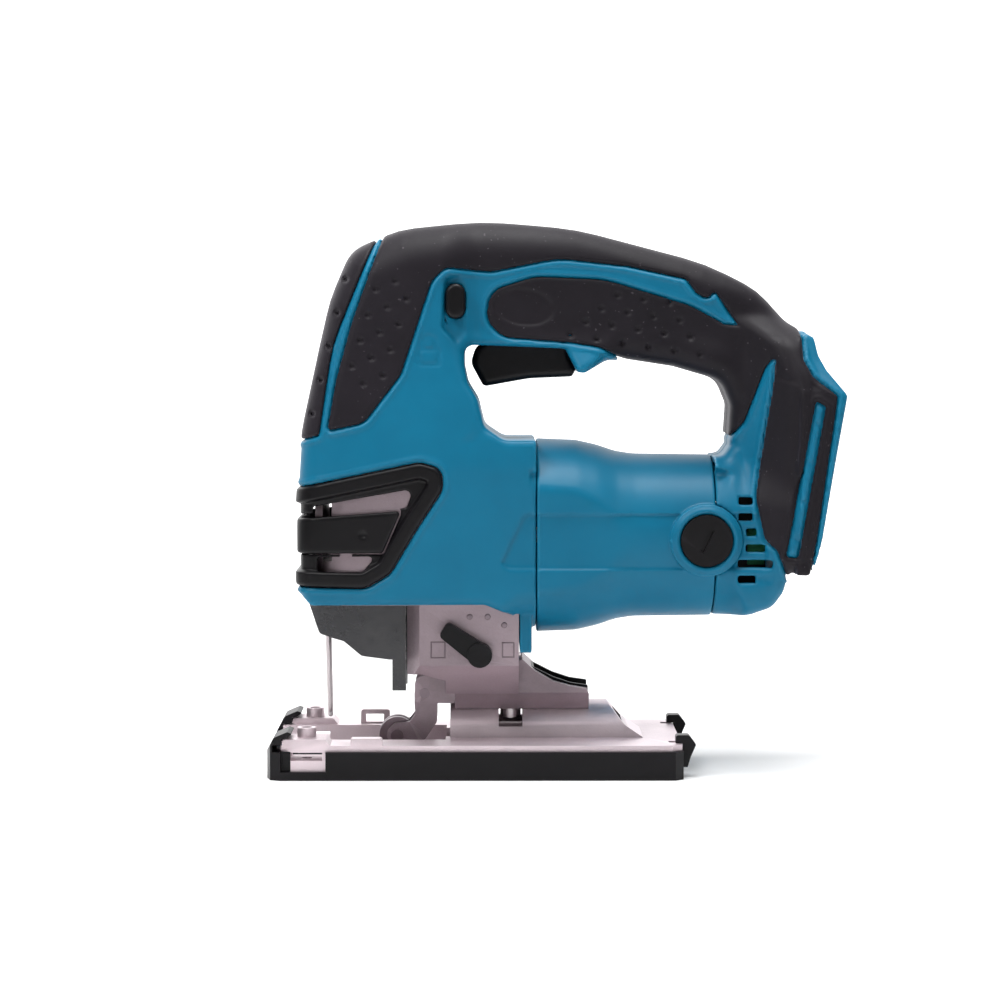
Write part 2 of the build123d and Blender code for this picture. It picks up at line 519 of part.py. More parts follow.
# ---------------------------------------------------------------- gear housing
def build_gear_housing():
    body = gear_casting_form()
    body += rod_x(-20, -8, 0, MOTOR_Z, 12.5)
    foot_side = [(-38.5, 20), (-38.5, 32), (-12.5, 43.1), (-7.5, 38.6), (-0.6, 34.6), (6, 32.8),
                 (12.2, 31.8), (13.1, 29.6), (13.1, 20)]
    foot = slab(foot_side, -30, 30) & wedge(-45, 20, FOOT_WEDGE, 40)
    foot &= block(-45, 20, -14, 14, 0, 60)
    foot -= rod_x(-60, 60, 0, TILT_Z, HUMP_R + SADDLE_GAP)
    foot -= block(-9, 20, -9.2, 9.2, 28.4, 60)
    body += foot
    ear = slab([(-54, 29.5, 3.5), (-54, 35.2, 3.5), (-47, 37.5), (-38.6, 37.5), (-38.6, 25.6),
                (-54, 25.6, 3)], 7.5, 9.6)
    body += mirrored(ear)
    cavity = half_section([(26.3, 82), (26.3, 125), (20.9, 144.9)], -88.5, -24)
    body -= cavity - block(-37.6, 0, -40, 40, CASE_TOP - 2.4, 200)
    body -= block(-50, -20, -21, 21, 46, 83)
    body += rod_x(-38, -16, 0, GEAR_Z, 9) - block(-40, 0, -40, 40, CASE_TOP, 200)
    body -= block(-89, -83, -21.5, 21.5, 84, 142)
    body -= half_plan([(-93, 26), (-88.4, 26)], 67, 145.3)
    body -= rod_z(64, 170, ROD_X, 0, 8)
    body -= rod_x(-39, -15, 0, GEAR_Z, 5)
    body -= rod_x(-14, -7, 0, MOTOR_Z, 9.5)
    body -= rod_x(-60, -5, 0, MOTOR_Z, 6.2)
    body -= rod_z(20, 44, BOLT_X, 0, BOLT_R)
    body -= rod_y(-28, 10, LEVER[0], LEVER[1], 3 + RUN_FIT)
    body -= mirrored(rod_y(5, 11, ARM_PIN[0], ARM_PIN[1], 1.95))
    side = 3.5
    route = FilletPolyline((-88.2, -side, 72), (-87, -side, 20.2), (-87, side, 20.2),
                           (-88.2, side, 72), radius=3.2)
    wire = sweep(Plane(origin=route @ 0, z_dir=route % 0) * Circle(0.95), path=route)
    keep("guard_wire", wire)
    body -= wire
    keep("gear_housing", largest(body))
    cover = half_plan([(-91.5, 21), (-88.5, 23.9)], 67, 145.3)
    screws_at = [(y, z) for y in (-17, 17) for z in (71.5, 136)]
    fixings = []
    for y, z in screws_at:
        cover -= rod_x(-93, -88, y, z, 1.6)
        fixings.append(rod_x(-93.4, -91.5, y, z, 3) + rod_x(-91.5, -88.5, y, z, 1.6))
    cover &= half_section([(28, 67), (28, 126), (21.5, 145.3)], -93, -88.5)
    cover -= wire
    keep("gear_housing_cover", cover)
    keep("gear_housing_screws", Compound(fixings))
    duct = slab([(-9, 28.4), (-9, 40), (-0.6, 35.8), (6, 33.6), (12.8, 32.6), (12.8, 28.4)], -9.2, 9.2)
    duct -= block(-8, 20, -7.6, 7.6, 29.8, 60)
    keep("dust_duct", duct)
    lens = slab([(-94.8, 66.5, 1), (-92.4, 66.5), (-92.4, 80), (-95.6, 80), (-95.6, 69, 1)], -5, 5)
    keep("lamp_lens", lens)


# ---------------------------------------------------------------- roller guide
def build_roller():
    x, z = ARM_PIN
    rx, rz = ROLLER
    cheek = [(-54.2, 31.5, 3), (-46, 33.5, 3), (-45.4, 24), (-45.5, 18, 3), (-50.5, 10.6, 5),
             (-58, 8.6, 3), (-63.5, 8.6, 3.6), (-65.4, 13.7, 3.6), (-62, 17.6, 3), (-56.2, 18, 1),
             (-53.9, 21, 2), (-54.2, 25)]
    arm = slab(cheek, -7.2, 7.2)
    arm -= block(-70, -53.2, -4.9, 4.9, 0, 25)
    arm -= block(-70, -40, -4.9, 4.9, 24, 40) & block(-70, -49, -10, 10, 24, 40)
    arm -= rod_y(-10, 10, x, z, 1.95 + RUN_FIT)
    arm -= rod_y(-10, 10, rx, rz, 2.5)
    keep("roller_arm", arm)
    pins = rod_y(-9.6, 9.6, x, z, 1.95)
    keep("roller_arm_pin", pins)
    keep("roller_pin", rod_y(-7.6, 7.6, rx, rz, 2.5))
    roller = rod_y(-4.5, 4.5, rx, rz, ROLLER_R)
    groove = Pos(rx, 0, rz) * Rot(90, 0, 0) * Torus(ROLLER_R + 0.6, 1.5)
    roller = roller - groove - rod_y(-6, 6, rx, rz, 2.5 + RUN_FIT)
    keep("guide_roller", roller)
    outline = [(-94.7, 64.4), (-90.4, 53.2, 2), (-81, 50.5, 3), (-74.2, 44.8, 2), (-63.6, 43.4),
               (-57.3, 43.4), (-57.3, 64.4)]
    plan = [(-95, 9), (-91, 14), (-85, 17), (-57, 17)]
    inner_plan = [(-93, 8.2), (-89.6, 12.8), (-84.6, 15.4), (-50, 15.4)]
    cover = slab(outline, -20, 20) & half_plan(plan, 20, 70)
    cover -= half_plan(inner_plan, 20, 70)
    tail = block(-62.6, -57.3, 9.2, 11.8, 30.8, 64.4) + block(-59, -57.3, 9.2, 16, 43.4, 64.4)
    keep("dust_cover", cover + mirrored(tail))


# ---------------------------------------------------------------- shoe
def build_shoe():
    plan = [(-107, 30), (-104, 35), (-100, SHOE_HALF), (44, SHOE_HALF), (47.8, 33)]
    shoe = half_plan(plan, SOLE_T, SHOE_TOP)
    shoe -= block(-120, -42, -PRONG_IN, PRONG_IN, 0, 40)
    shoe -= block(-40.2, 28, -12, 12, 0, 12)
    shoe -= block(-84, -45, -33.5, -22, 0, 9.5) + block(-84, -45, 22, 33.5, 0, 9.5)
    shoe -= mirrored(block(-34, 40, 17.5, 33.5, 0, 9.5))
    front = [(-103.5, 12), (-103.5, 15.4, 1), (-87.2, 15.4, 1), (-84.5, 12)]
    shoe += mirrored(slab(front, 22, SHOE_HALF))
    shoe += mirrored(rod_z(15, 19, GUIDE_SCREW[0], GUIDE_SCREW[1], 3.6))
    shoe += slab([(-77.6, 12), (-77.6, 15.7, 0.8), (-65.7, 15.7, 0.8), (-65.7, 12)],
                 -SHOE_HALF, -31.5)
    lug = slab([(-76.3, 12), (-76.3, 18.6, 1), (-64.8, 18.6, 1), (-64.8, 12)], 24.6, 26.8)
    lug -= block(-74.3, -67.2, 24, 27, 13.6, 16.8)
    shoe += lug
    hump_side = [(-40.3, 10), (-40.3, 27), (19.4, 27), (26.5, 18, 8), (34, SHOE_TOP), (34, 10)]
    hump = slab(hump_side, -20, 20)
    hump_outer = half_section([(HUMP_R, 8), (HUMP_R, TILT_Z)], -41, 35)
    hump_outer += rod_x(-41, 35, 0, TILT_Z, HUMP_R) & block(-41, 35, -20, 20, TILT_Z, 30)
    hump &= hump_outer
    shoe += hump
    shoe -= rod_x(-60, 26, 0, TILT_Z, HUMP_R - HUMP_WALL) & block(-60, 26, -20, 20, 5, 30)
    reach = BOLT_R + 0.6
    outer_r, inner_r = HUMP_R + 1, HUMP_R - HUMP_WALL - 1
    shoe -= arc_band(inner_r, outer_r, -66, 20, BOLT_X - reach, BOLT_X + reach)
    shoe -= arc_band(inner_r, outer_r, -20, 66, BOLT_X - reach - SLIDE_TRAVEL, BOLT_X + reach)
    shoe -= mirrored(block(-100.5, -88.3, 19, 40, 7.3, 10.4))
    shoe -= mirrored(rod_z(0, 20, GUIDE_SCREW[0], GUIDE_SCREW[1], 2.1))
    shoe -= mirrored(block(43, 49, 24, 28, 10, 14))
    keep("base_shoe", largest(shoe))

    cover_plan = [(-109.5, 30), (-108, 36.5), (-104, COVER_HALF), (45, COVER_HALF), (48.2, 35)]
    cover = half_plan(cover_plan, 0, 10.7)
    cover -= half_plan(plan, SOLE_T, 20)
    cover -= block(-120, -100.8, -PRONG_IN + 1, PRONG_IN - 1, -1, 20)
    cover -= block(-120, 2, -SLOT_HALF, SLOT_HALF, -1, 20)
    cover -= mirrored(block(-104, -87, 37.5 - 1.2, 40, 3.2, 20))
    horn = slab([(-109.5, 8), (-109.3, 11, 2), (-106.6, 16.2, 2), (-101.4, 18.4, 0.8),
                 (-99.4, 17.6, 0.6), (-101.8, 16.0, 2), (-103.7, 15.8), (-103.7, 13.6),
                 (-107.2, 13.3), (-107.2, 8)], PRONG_IN + 1, 37.5)
    cover += mirrored(horn & half_plan(cover_plan, 0, 30))
    clip = slab([(48.2, 4), (48.2, 13.1), (45.5, 13.1), (45.5, 16.2, 1), (50.5, 16.2, 1),
                 (53.2, 12.6, 1), (51.2, 8, 1), (50, 4)], 25.5, 31)
    cover += mirrored(clip)
    cover -= half_plan(plan, SOLE_T, SHOE_TOP)
    cover -= mirrored(rod_z(-1, SOLE_T + 1, GUIDE_SCREW[0], GUIDE_SCREW[1], 3.0))
    keep("cover_plate", largest(cover))

    plate_r = HUMP_R - HUMP_WALL - 0.3
    plate = arc_band(plate_r - 2.2, plate_r, -80, 80, BOLT_X - 12, BOLT_X + 12)
    plate -= arc_band(plate_r - 4, plate_r + 2, -74, 74, BOLT_X - reach, BOLT_X + reach)
    keep("bevel_clamp_plate", plate)
    washer_r = plate_r - 2.2 - 0.3
    washer = rod_x(BOLT_X - 7, BOLT_X + 7, 0, TILT_Z, washer_r) & block(-60, 0, -6, 6, TILT_Z + 4, 40)
    keep("bevel_washer", washer - rod_z(0, 60, BOLT_X, 0, BOLT_R))
    bolt = rod_z(TILT_Z + 4, 44, BOLT_X, 0, BOLT_R) + rod_z(TILT_Z - 2, TILT_Z + 4, BOLT_X, 0, 5.6)
    socket = Pos(BOLT_X, 0, TILT_Z - 2) * extrude(RegularPolygon(2.6, 6), amount=3.5)
    keep("bevel_bolt", bolt - socket)


# ---------------------------------------------------------------- battery terminals and wiring
def build_electrics():
    seat = MOUNT * block(-15.5, -10, -14, 14, 8, 28)
    seat += MOUNT * block(-10, -5.2, -12, 12, 12, 27)
    blades = [MOUNT * block(-10, -4, y - 0.5, y + 0.5, 13, 26) for y in (-16.5, 16.5)]
    keep("terminal_block", seat)
    keep("battery_terminals", Compound(blades))
    wires = []
    for side in (-4.5, 4.5):
        wires.append(rod_x(8, 50, side, 182, 1.2))
    keep("lead_wires", Compound(wires))


build_housing()
build_controls()
build_motor()
build_drive()
build_gear_housing()
build_roller()
build_shoe()
build_electrics()

os.makedirs("parts", exist_ok=True)
for node, shape in PARTS.items():
    shape.label = node
    export_step(shape, f"parts/{node}.step")
print(len(PARTS), "nodes")
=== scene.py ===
import math

import bpy
import numpy as np
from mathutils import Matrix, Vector


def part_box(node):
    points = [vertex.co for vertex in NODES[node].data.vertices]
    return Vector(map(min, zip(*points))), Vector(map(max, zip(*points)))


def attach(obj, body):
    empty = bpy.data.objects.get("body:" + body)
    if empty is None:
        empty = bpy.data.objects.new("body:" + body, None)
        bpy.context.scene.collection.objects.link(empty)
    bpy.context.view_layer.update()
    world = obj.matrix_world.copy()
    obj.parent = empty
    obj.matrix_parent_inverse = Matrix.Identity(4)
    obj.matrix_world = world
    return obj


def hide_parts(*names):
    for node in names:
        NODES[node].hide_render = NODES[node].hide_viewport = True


# Looks of a cordless D-handle jigsaw. The moulded shells, grips and grilles are rebuilt here as
# smooth closed meshes from distance fields; cast and turned parts keep their CAD shape.
# Fields and outlines are in millimetres, in the frame of the CAD: nose -X, battery mount +X, Z up.

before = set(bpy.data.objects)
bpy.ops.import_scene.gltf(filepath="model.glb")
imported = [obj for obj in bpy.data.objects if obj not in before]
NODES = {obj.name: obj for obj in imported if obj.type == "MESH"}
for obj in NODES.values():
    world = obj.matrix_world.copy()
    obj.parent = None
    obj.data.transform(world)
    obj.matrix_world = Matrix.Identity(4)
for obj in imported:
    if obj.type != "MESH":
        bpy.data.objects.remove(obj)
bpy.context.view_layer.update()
MM = 0.001

# ---------------------------------------------------------------- driving dimensions
SHELL_CELL = 0.75    # sampling step of the half shells
GRIP_CELL = 0.6      # of the rubber and the motor case
FINE_CELL = 0.5      # of the grilles, trigger, button and opener
CRUMB_FACES = 60            # a loose piece of surface with no more faces is dropped

MOTOR_Z = 90.2              # height of the motor's axis, which lies along X
NOSE_HALF = 31.5
HANDLE_HALF = 19.5
FLANGE_HALF = 37.4
NECK_RADIUS = 37.9
MOTOR_RADIUS = 31.6
SHELL_WALL = 3.2
SHELL_SINK = 0.35           # moulded shell lies this far below the rubber grips
GRIP_DEPTH = 1.55
SEAM = 0.12                 # half the gap where the two halves meet
PAD_GAP = 0.14              # between the rubber and the pocket it fills
MOTOR_FRONT, MOTOR_REAR = -7.3, 60.5
MOTOR_GAP = 0.15            # at each end of the motor case
PANEL_SINK, PANEL_FROM = 0.9, 24            # sunk side panel, and the |y| it starts at
BRUSH = (56.8, MOTOR_Z)     # axis of the brush caps
BUTTON = (-38.0, 180.4)     # axis of the lock button
OPENER_PIVOT = (-80.0, 30.8)                # (x, y) of the upright pivot of the opener
BUTTON_LOW, BUTTON_HIGH = (b[1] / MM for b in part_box("lock_button"))
BUTTON_MID = (BUTTON_LOW + BUTTON_HIGH) / 2
BUTTON_HALF = (BUTTON_HIGH - BUTTON_LOW) / 2
MOUNT_AT = (100.0, 91.0)
MOUNT_TILT = math.atan2(9.5, 54.2)
SOCKET_TOP = 52             # how far up the mount the battery's rails reach
VENT_HIGH = 2.8
VENT_Y = (20, 45)           # vents are cut through the wall between these depths

# ------------------------------------------------ side outlines, (x, z, corner radius)
SILHOUETTE = [(-93, 65, 2.5), (-98.8, 71, 5), (-99, 104), (-97.4, 131, 60), (-86.8, 181, 60),
              (-78.6, 200.2, 14), (-60, 208.3, 40), (-29, 211.5, 90), (8.2, 207.9, 100),
              (57.7, 194.9, 80), (77.5, 184.6, 30), (88.3, 172.4, 12), (97.4, 167.3, 3),
              (99.0, 159.5, 3), (102.0, 154.4, 3), (107.0, 145.2, 2), (103.5, 118), (96.2, 78, 2),
              (89.0, 77, 1), (87.6, 71.5, 3), (82.5, 63.8, 8), (74.5, 60.8, 8), (60.5, 59.2),
              (20, 55), (-7.3, 55), (-14.2, 56.5, 1.5), (-18, 61.5, 2), (-26.9, 65.2, 4)]
FINGER_HOLE = [(-34.4, 163.6, 5), (3.4, 162.2, 1), (8.0, 153.2, 1), (11.0, 152.9, 1.2),
               (19, 157.4, 6), (26.1, 158.6, 10), (45.5, 155.6, 20), (63, 150.5, 8),
               (66.9, 141, 6), (66.2, 129), (66.9, 126.4, 1.4), (63.6, 121.7, 3), (30, 121.9),
               (8, 127.4), (-7.3, 128.2), (-19.5, 128.2, 6), (-26.6, 133, 4), (-29, 143, 8),
               (-33.0, 149.5, 6), (-34.4, 156, 3)]
BROW = [(-99, -60), (-98.9, 71), (-99, 104), (-97.4, 131, 60), (-86.8, 181, 60),
        (-78.6, 200.2, 14), (-60, 208.3, 40), (-29, 211.5, 90), (100, 211.5), (100, -60)]
FLANGE = [(90.5, 77.4), (96.2, 77.2, 2), (100, 91, 14), (109.5, 145.2, 1.5), (102, 154.6, 3),
          (99.2, 160, 3), (97.6, 167.5, 2), (92, 168)]
FRONT_PAD = [(-112, 123.8), (-89.4, 129.6, 1.5), (-84.4, 164, 60), (-67.7, 204.8), (-64, 230),
             (-112, 230)]
TOP_GRIP = [(-86.6, 131.2, 1.5), (-72.4, 134.3, 8), (-58.5, 152.5, 10), (-46.9, 187.9, 10),
            (-41.8, 193, 5), (-24.7, 191.3, 9), (0.9, 196.4, 30), (27, 193.6, 40),
            (49.5, 188.7, 2), (53.4, 183.2, 3), (57.6, 181.0, 3), (60.6, 184.0, 1), (71, 168.4),
            (79, 158), (92.7, 158), (92.7, 230), (-60, 230), (-66.2, 203.9), (-77.6, 171.7, 60),
            (-83.4, 150.2, 60)]
PALM_GRIP = [(79, 170), (64, 172), (51.6, 178.9, 30), (18.6, 188.9, 40), (-8, 190, 16),
             (-25.0, 184.6, 9), (-26.8, 173, 8), (-20, 166.6, 9), (5.6, 164.6, 20),
             (16.4, 163.0, 14), (26.0, 158.3), (26, 146), (60, 146), (60, 128.6),
             (66.3, 128.2), (72.1, 134.6, 6), (79.3, 155), (83, 160)]
REAR_PAD = [(82.7, 160), (81.5, 146.2), (75.3, 106, 8), (78.6, 90.2, 6), (83.1, 86.4, 2),
            (87.2, 76), (95.3, 76), (98.2, 92, 12), (105.6, 144.9, 1), (96.6, 152, 2),
            (93.2, 158.5, 3), (92.8, 172), (82, 172)]
REAR_SLOT = [(97.4, 142.6, 0.6), (100.6, 140.6, 0.6), (90.8, 84.2, 0.6), (86.8, 84.5, 0.6)]
REAR_FRAME = [(95.2, 150.6, 0.8), (104.2, 144.6, 0.8), (94.3, 80.6, 1.5), (84.4, 81.6, 2)]
WINDOW = [(-112, 107.6), (-96, 110.3, 20), (-51.6, 119.6, 7), (-43.2, 117.2, 6),
          (-42.8, 109.5, 7), (-53, 93.9), (-62.8, 77.4, 8), (-72, 71.9, 9), (-90.9, 72.4),
          (-112, 73.4)]
SLOT_HIGH = [(-91.8, 102.9, 0.8), (-54, 109.6, 2.2), (-56.6, 102.4, 1.6), (-91.9, 99.3, 0.6)]
SLOT_LOW = [(-90.2, 83.8, 0.8), (-68.3, 84, 1.2), (-73.2, 78.2, 3), (-90.2, 78.3, 1.2)]
OPENER = [(-112, 84.9), (-65.5, 85.2, 1.2), (-58.4, 101.4, 1.2), (-112, 97.4)]
SIDE_PANEL = [(-11.8, 100.3, 2.5), (80, 100.3), (80, 79), (-18, 79, 2.2), (-21, 81.2, 1.2)]
BUTTON_WELL = [(-42.4, 189.6, 3.5), (-36.5, 190.6, 3), (-33.6, 186, 2), (-33.6, 168, 1.5),
               (-37.4, 163.6, 1.2), (-43.6, 170, 2.5)]
TRIGGER = [(-32.4, 157, 5), (-30.6, 162.6, 4), (-24, 167.5, 2), (6, 167.5, 1), (6.0, 160, 2),
           (8.0, 154.2, 1.2), (6.6, 151.6, 1.4), (-10, 150.9, 30), (-27.4, 147.8, 2)]
TRIGGER_POCKET = [(-35.6, 140), (-35.6, 166), (-26, 174), (9.3, 174), (9.3, 155), (9.3, 140)]
REAR_CREASE = [(78, 168), (86, 166), (90, 150), (83.6, 152), (81.0, 158)]
PADLOCK_BODY = [(-51.6, 162.2, 0.4), (-44.2, 162.2, 0.4), (-44.2, 156.4, 0.4), (-51.6, 156.4, 0.4)]
VENT_ROWS = [(69.0, 74.4, 106.3), (69.0, 74.2, 100.4), (71.9, 75.8, 94.6), (71.7, 79.0, 88.6),
             (68.7, 81.8, 82.7), (68.7, 75.4, 76.8)]
DETENTS = [(-32.7, 60.7), (-25.9, 60.7), (-19.6, 57.5)]
SCREWS = [(-85.5, 158, 23), (-62, 198, 19), (2, 200.5, 15), (62, 186.5, 15), (82, 69, 22),
          (84, 163.5, 17), (-11.5, 119, 26), (-10.8, 62.5, 26)]

# half widths and radii, as (place, amount) knots
BARREL = [(-10, 37.9), (8, 37.2), (16, 35.4), (23, 33.0), (30, 31.9), (62, 31.5)]
NOSE_WIDTHS = [(60, 31.3), (118, NOSE_HALF), (138, 29.8), (165, 27), (190, 25.4), (212, 24)]
COLUMN_WIDTHS = [(60, 19), (72, 20.5), (80, 27), (87, 33.5), (93, FLANGE_HALF),
                 (112, FLANGE_HALF)]
CAP_WIDTHS = [(148, 38), (164, 30), (175, 18)]
FLANGE_WIDTHS = [(140, FLANGE_HALF), (146, 36.8), (158, 30), (170, 25.5)]

# roundings of the long edges, by region
NOSE_EDGE_LOW, NOSE_EDGE_MORE = 3, 11
MOTOR_EDGE, HANDLE_EDGE, TAIL_EDGE, COLUMN_EDGE, TRIGGER_EDGE = 3, 13, 10.5, 9.0, 4.0

# boxes cleared out of the shells: gear casting, dust cover, front guide
CASTING_ROOMS = [((-58.2, -25.4, 30), (-13.8, 25.4, 67.5)),
                 ((-112, -18.6, 30), (-57.2, 18.6, 69)),
                 ((-112, -5.4, 66), (-92, 5.4, 80.5))]
REAR_GUARD = ((-13.7, -25.2, 46.9), (-9.1, 25.2, 62))

# dimples of the rubber: start, step along a row, step between rows, (first, last) of each row
DIMPLES = [((-60.7, 187.9), (-7.25, -3.1), (4.25, -6.55),
            [(0, 1), (0, 2), (1, 3), (2, 4), (3, 4)]),
           ((23.6, 182.6), (9.9, -1.45), (-6.0, -5.05), [(0, 2), (0, 3), (0, 4), (0, 5)]),
           ((-79.8, 188.7), (0, 0), (-3.1, -12.7), [(0, 0)] * 5)]


# ---------------------------------------------------------------- distance fields
def rounded(points):
    """The outline with each corner replaced by an arc of its own radius."""
    out = []
    count = len(points)
    for i, point in enumerate(points):
        here = np.array(point[:2], float)
        back = here - np.array(points[i - 1][:2], float)
        ahead = np.array(points[(i + 1) % count][:2], float) - here
        back_len, ahead_len = np.linalg.norm(back), np.linalg.norm(ahead)
        back, ahead = back / back_len, ahead / ahead_len
        half = math.acos(float(np.clip(back @ ahead, -1, 1))) / 2
        radius = point[2] if len(point) == 3 else 0.0
        reach = min(radius * math.tan(half), 0.45 * min(back_len, ahead_len))
        if reach < 0.05 or half < 0.01:
            out.append(here)
            continue
        radius = reach / math.tan(half)
        side = 1.0 if back[0] * ahead[1] - back[1] * ahead[0] > 0 else -1.0
        start = here - back * reach
        centre = start + side * radius * np.array([-back[1], back[0]])
        steps = max(2, int(half * 14))
        for k in range(steps + 1):
            turn = side * 2 * half * k / steps
            c, s = math.cos(turn), math.sin(turn)
            arm = start - centre
            out.append(centre + np.array([c * arm[0] - s * arm[1], s * arm[0] + c * arm[1]]))
    return np.array(out)


def smin(a, b, k):
    """The lesser of two fields, with a fillet about k wide where they meet."""
    h = np.clip(0.5 + 0.5 * (b - a) / k, 0, 1)
    return b + (a - b) * h - k * h * (1 - h)


def smax(a, b, k):
    """The greater of two fields, with a rounded edge."""
    return -smin(-a, -b, k)


def ramp(value, start, stop):
    """0 before start, 1 after stop, and smooth between."""
    t = np.clip((value - start) / (stop - start), 0, 1)
    return t * t * (3 - 2 * t)


def eased(value, knots, width=9.0):
    """Interpolates (place, amount) knots with their corners smoothed over a width."""
    places = np.array([k[0] for k in knots], float)
    amounts = np.array([k[1] for k in knots], float)
    fine = np.arange(places[0] - 3 * width, places[-1] + 3 * width, 0.25)
    kernel = np.hanning(int(width / 0.25) + 2)
    level = np.interp(fine, places, amounts)
    padded = np.pad(level, len(kernel), mode="edge")
    level = np.convolve(padded, kernel / kernel.sum(), mode="same")[len(kernel):-len(kernel)]
    return np.interp(value, fine, level)


def toward(value, target, share):
    """Moves a value to a target by a share of the way."""
    return value + (target - value) * share


def ridge(distance, height, width):
    """A rounded ridge of a height where a distance is near zero."""
    return height * np.exp(-(distance / width) ** 2)


class Grid:
    """A block of sample points. Side-view fields have shape (nx, 1, nz)."""

    def __init__(self, low, high, cell):
        self.low, self.cell = np.array(low, float), cell
        x, y, z = (np.arange(a, b + cell, cell) for a, b in zip(low, high))
        self.x = x[:, None, None].astype(np.float32)
        self.y = y[None, :, None].astype(np.float32)
        self.z = z[None, None, :].astype(np.float32)
        self.ay = np.abs(self.y)

    def outline(self, points):
        """Signed distance to a side outline, negative inside."""
        ring = rounded(points)
        px, pz = self.x[:, 0, :], self.z[0, :, :]
        best = np.full((px.shape[0], pz.shape[1]), 1e9)
        inside = np.zeros(best.shape, bool)
        for (ax, az), (bx, bz) in zip(ring, np.roll(ring, -1, axis=0)):
            dx, dz = bx - ax, bz - az
            t = np.clip(((px - ax) * dx + (pz - az) * dz) / max(dx * dx + dz * dz, 1e-9), 0, 1)
            best = np.minimum(best, (px - ax - t * dx) ** 2 + (pz - az - t * dz) ** 2)
            if az != bz:
                crosses = ((az > pz) != (bz > pz)) & (px < ax + (pz - az) * dx / dz)
                inside ^= crosses
        signed = np.sqrt(best) * np.where(inside, -1, 1)
        return signed[:, None, :].astype(np.float32)

    def rod_y(self, x, z, radius):
        """A cylinder along Y."""
        return np.hypot(self.x - x, self.z - z) - radius

    def box(self, low, high):
        """A box between two corners, exact inside and near its faces."""
        parts = [np.maximum(a - v, v - b) for v, a, b in zip((self.x, self.y, self.z), low, high)]
        return np.maximum(np.maximum(parts[0], parts[1]), parts[2])


def pillow(side, half, y, radius):
    """A side outline swept to a half width, its long edges rounded by radius."""
    a, b = side + radius, y - half + radius
    edge = np.hypot(np.maximum(a, 0), np.maximum(b, 0)) - radius
    return np.minimum(np.maximum(a, b), 0) + edge


def surface(field, grid):
    """Surface nets: one vertex per mixed cell, one quad per crossed edge."""
    field = np.ascontiguousarray(field, np.float32)
    inside = field < 0
    total = np.zeros(tuple(n - 1 for n in field.shape), np.uint8)
    corners = [(i, j, k) for i in (0, 1) for j in (0, 1) for k in (0, 1)]
    for i, j, k in corners:
        total += inside[i:field.shape[0] - 1 + i, j:field.shape[1] - 1 + j,
                        k:field.shape[2] - 1 + k]
    mixed = (total > 0) & (total < 8)
    cells = np.argwhere(mixed)
    number = np.full(mixed.shape, -1, np.int64)
    number[mixed] = np.arange(len(cells))
    value = {c: field[cells[:, 0] + c[0], cells[:, 1] + c[1], cells[:, 2] + c[2]] for c in corners}
    place = np.zeros((len(cells), 3))
    crossings = np.zeros(len(cells))
    for c in corners:
        for axis in range(3):
            if c[axis]:
                continue
            d = tuple(1 if a == axis else v for a, v in enumerate(c))
            va, vb = value[c], value[d]
            cross = (va < 0) != (vb < 0)
            step = np.where(cross, va / np.where(cross, va - vb, 1), 0)
            spot = np.array(c, float)[None, :] + step[:, None] * np.eye(3)[axis][None, :]
            place += np.where(cross[:, None], spot, 0)
            crossings += cross
    points = grid.low + grid.cell * (cells + place / crossings[:, None])
    quads = []
    for axis in range(3):
        u, v = (axis + 1) % 3, (axis + 2) % 3
        before = [slice(None)] * 3
        after = [slice(None)] * 3
        before[axis], after[axis] = slice(None, -1), slice(1, None)
        change = inside[tuple(before)] != inside[tuple(after)]
        spots = np.argwhere(change)
        keep = (spots[:, u] > 0) & (spots[:, v] > 0)
        keep &= (spots[:, u] < field.shape[u] - 1) & (spots[:, v] < field.shape[v] - 1)
        spots = spots[keep]
        ring = []
        for du, dv in ((0, 0), (1, 0), (1, 1), (0, 1)):
            s = spots.copy()
            s[:, u] -= du
            s[:, v] -= dv
            ring.append(number[s[:, 0], s[:, 1], s[:, 2]])
        quad = np.stack(ring, 1)
        starts_inside = inside[spots[:, 0], spots[:, 1], spots[:, 2]]
        quad[~starts_inside] = quad[~starts_inside][:, ::-1]
        quads.append(quad)
    return points, np.concatenate(quads)


def without_crumbs(points, quads):
    """Keeps the connected pieces that have more than CRUMB_FACES faces."""
    label = np.arange(len(points))
    for _ in range(400):
        least = label[quads].min(1)
        new = label.copy()
        np.minimum.at(new, quads.ravel(), np.repeat(least, 4))
        new = new[new]
        if np.array_equal(new, label):
            break
        label = new
    names, counts = np.unique(label[quads[:, 0]], return_counts=True)
    good = names[counts > CRUMB_FACES]
    quads = quads[np.isin(label[quads[:, 0]], good)]
    used = np.unique(quads)
    renumber = np.full(len(points), -1)
    renumber[used] = np.arange(len(used))
    return points[used], renumber[quads]


def mesh_object(name, points, quads, mirror=False):
    """A smooth-shaded object from points in millimetres."""
    points = np.array(points, float) * MM
    if mirror:
        points[:, 1] *= -1
        quads = quads[:, ::-1]
    mesh = bpy.data.meshes.new(name)
    mesh.vertices.add(len(points))
    mesh.vertices.foreach_set("co", points.astype(np.float32).ravel())
    mesh.loops.add(quads.size)
    mesh.loops.foreach_set("vertex_index", quads.astype(np.int32).ravel())
    mesh.polygons.add(len(quads))
    mesh.polygons.foreach_set("loop_start", np.arange(0, quads.size, 4, dtype=np.int32))
    mesh.polygons.foreach_set("loop_total", np.full(len(quads), 4, np.int32))
    mesh.update(calc_edges=True)
    mesh.validate()
    mesh.polygons.foreach_set("use_smooth", np.ones(len(mesh.polygons), bool))
    obj = bpy.data.objects.new(name, mesh)
    bpy.context.scene.collection.objects.link(obj)
    return obj


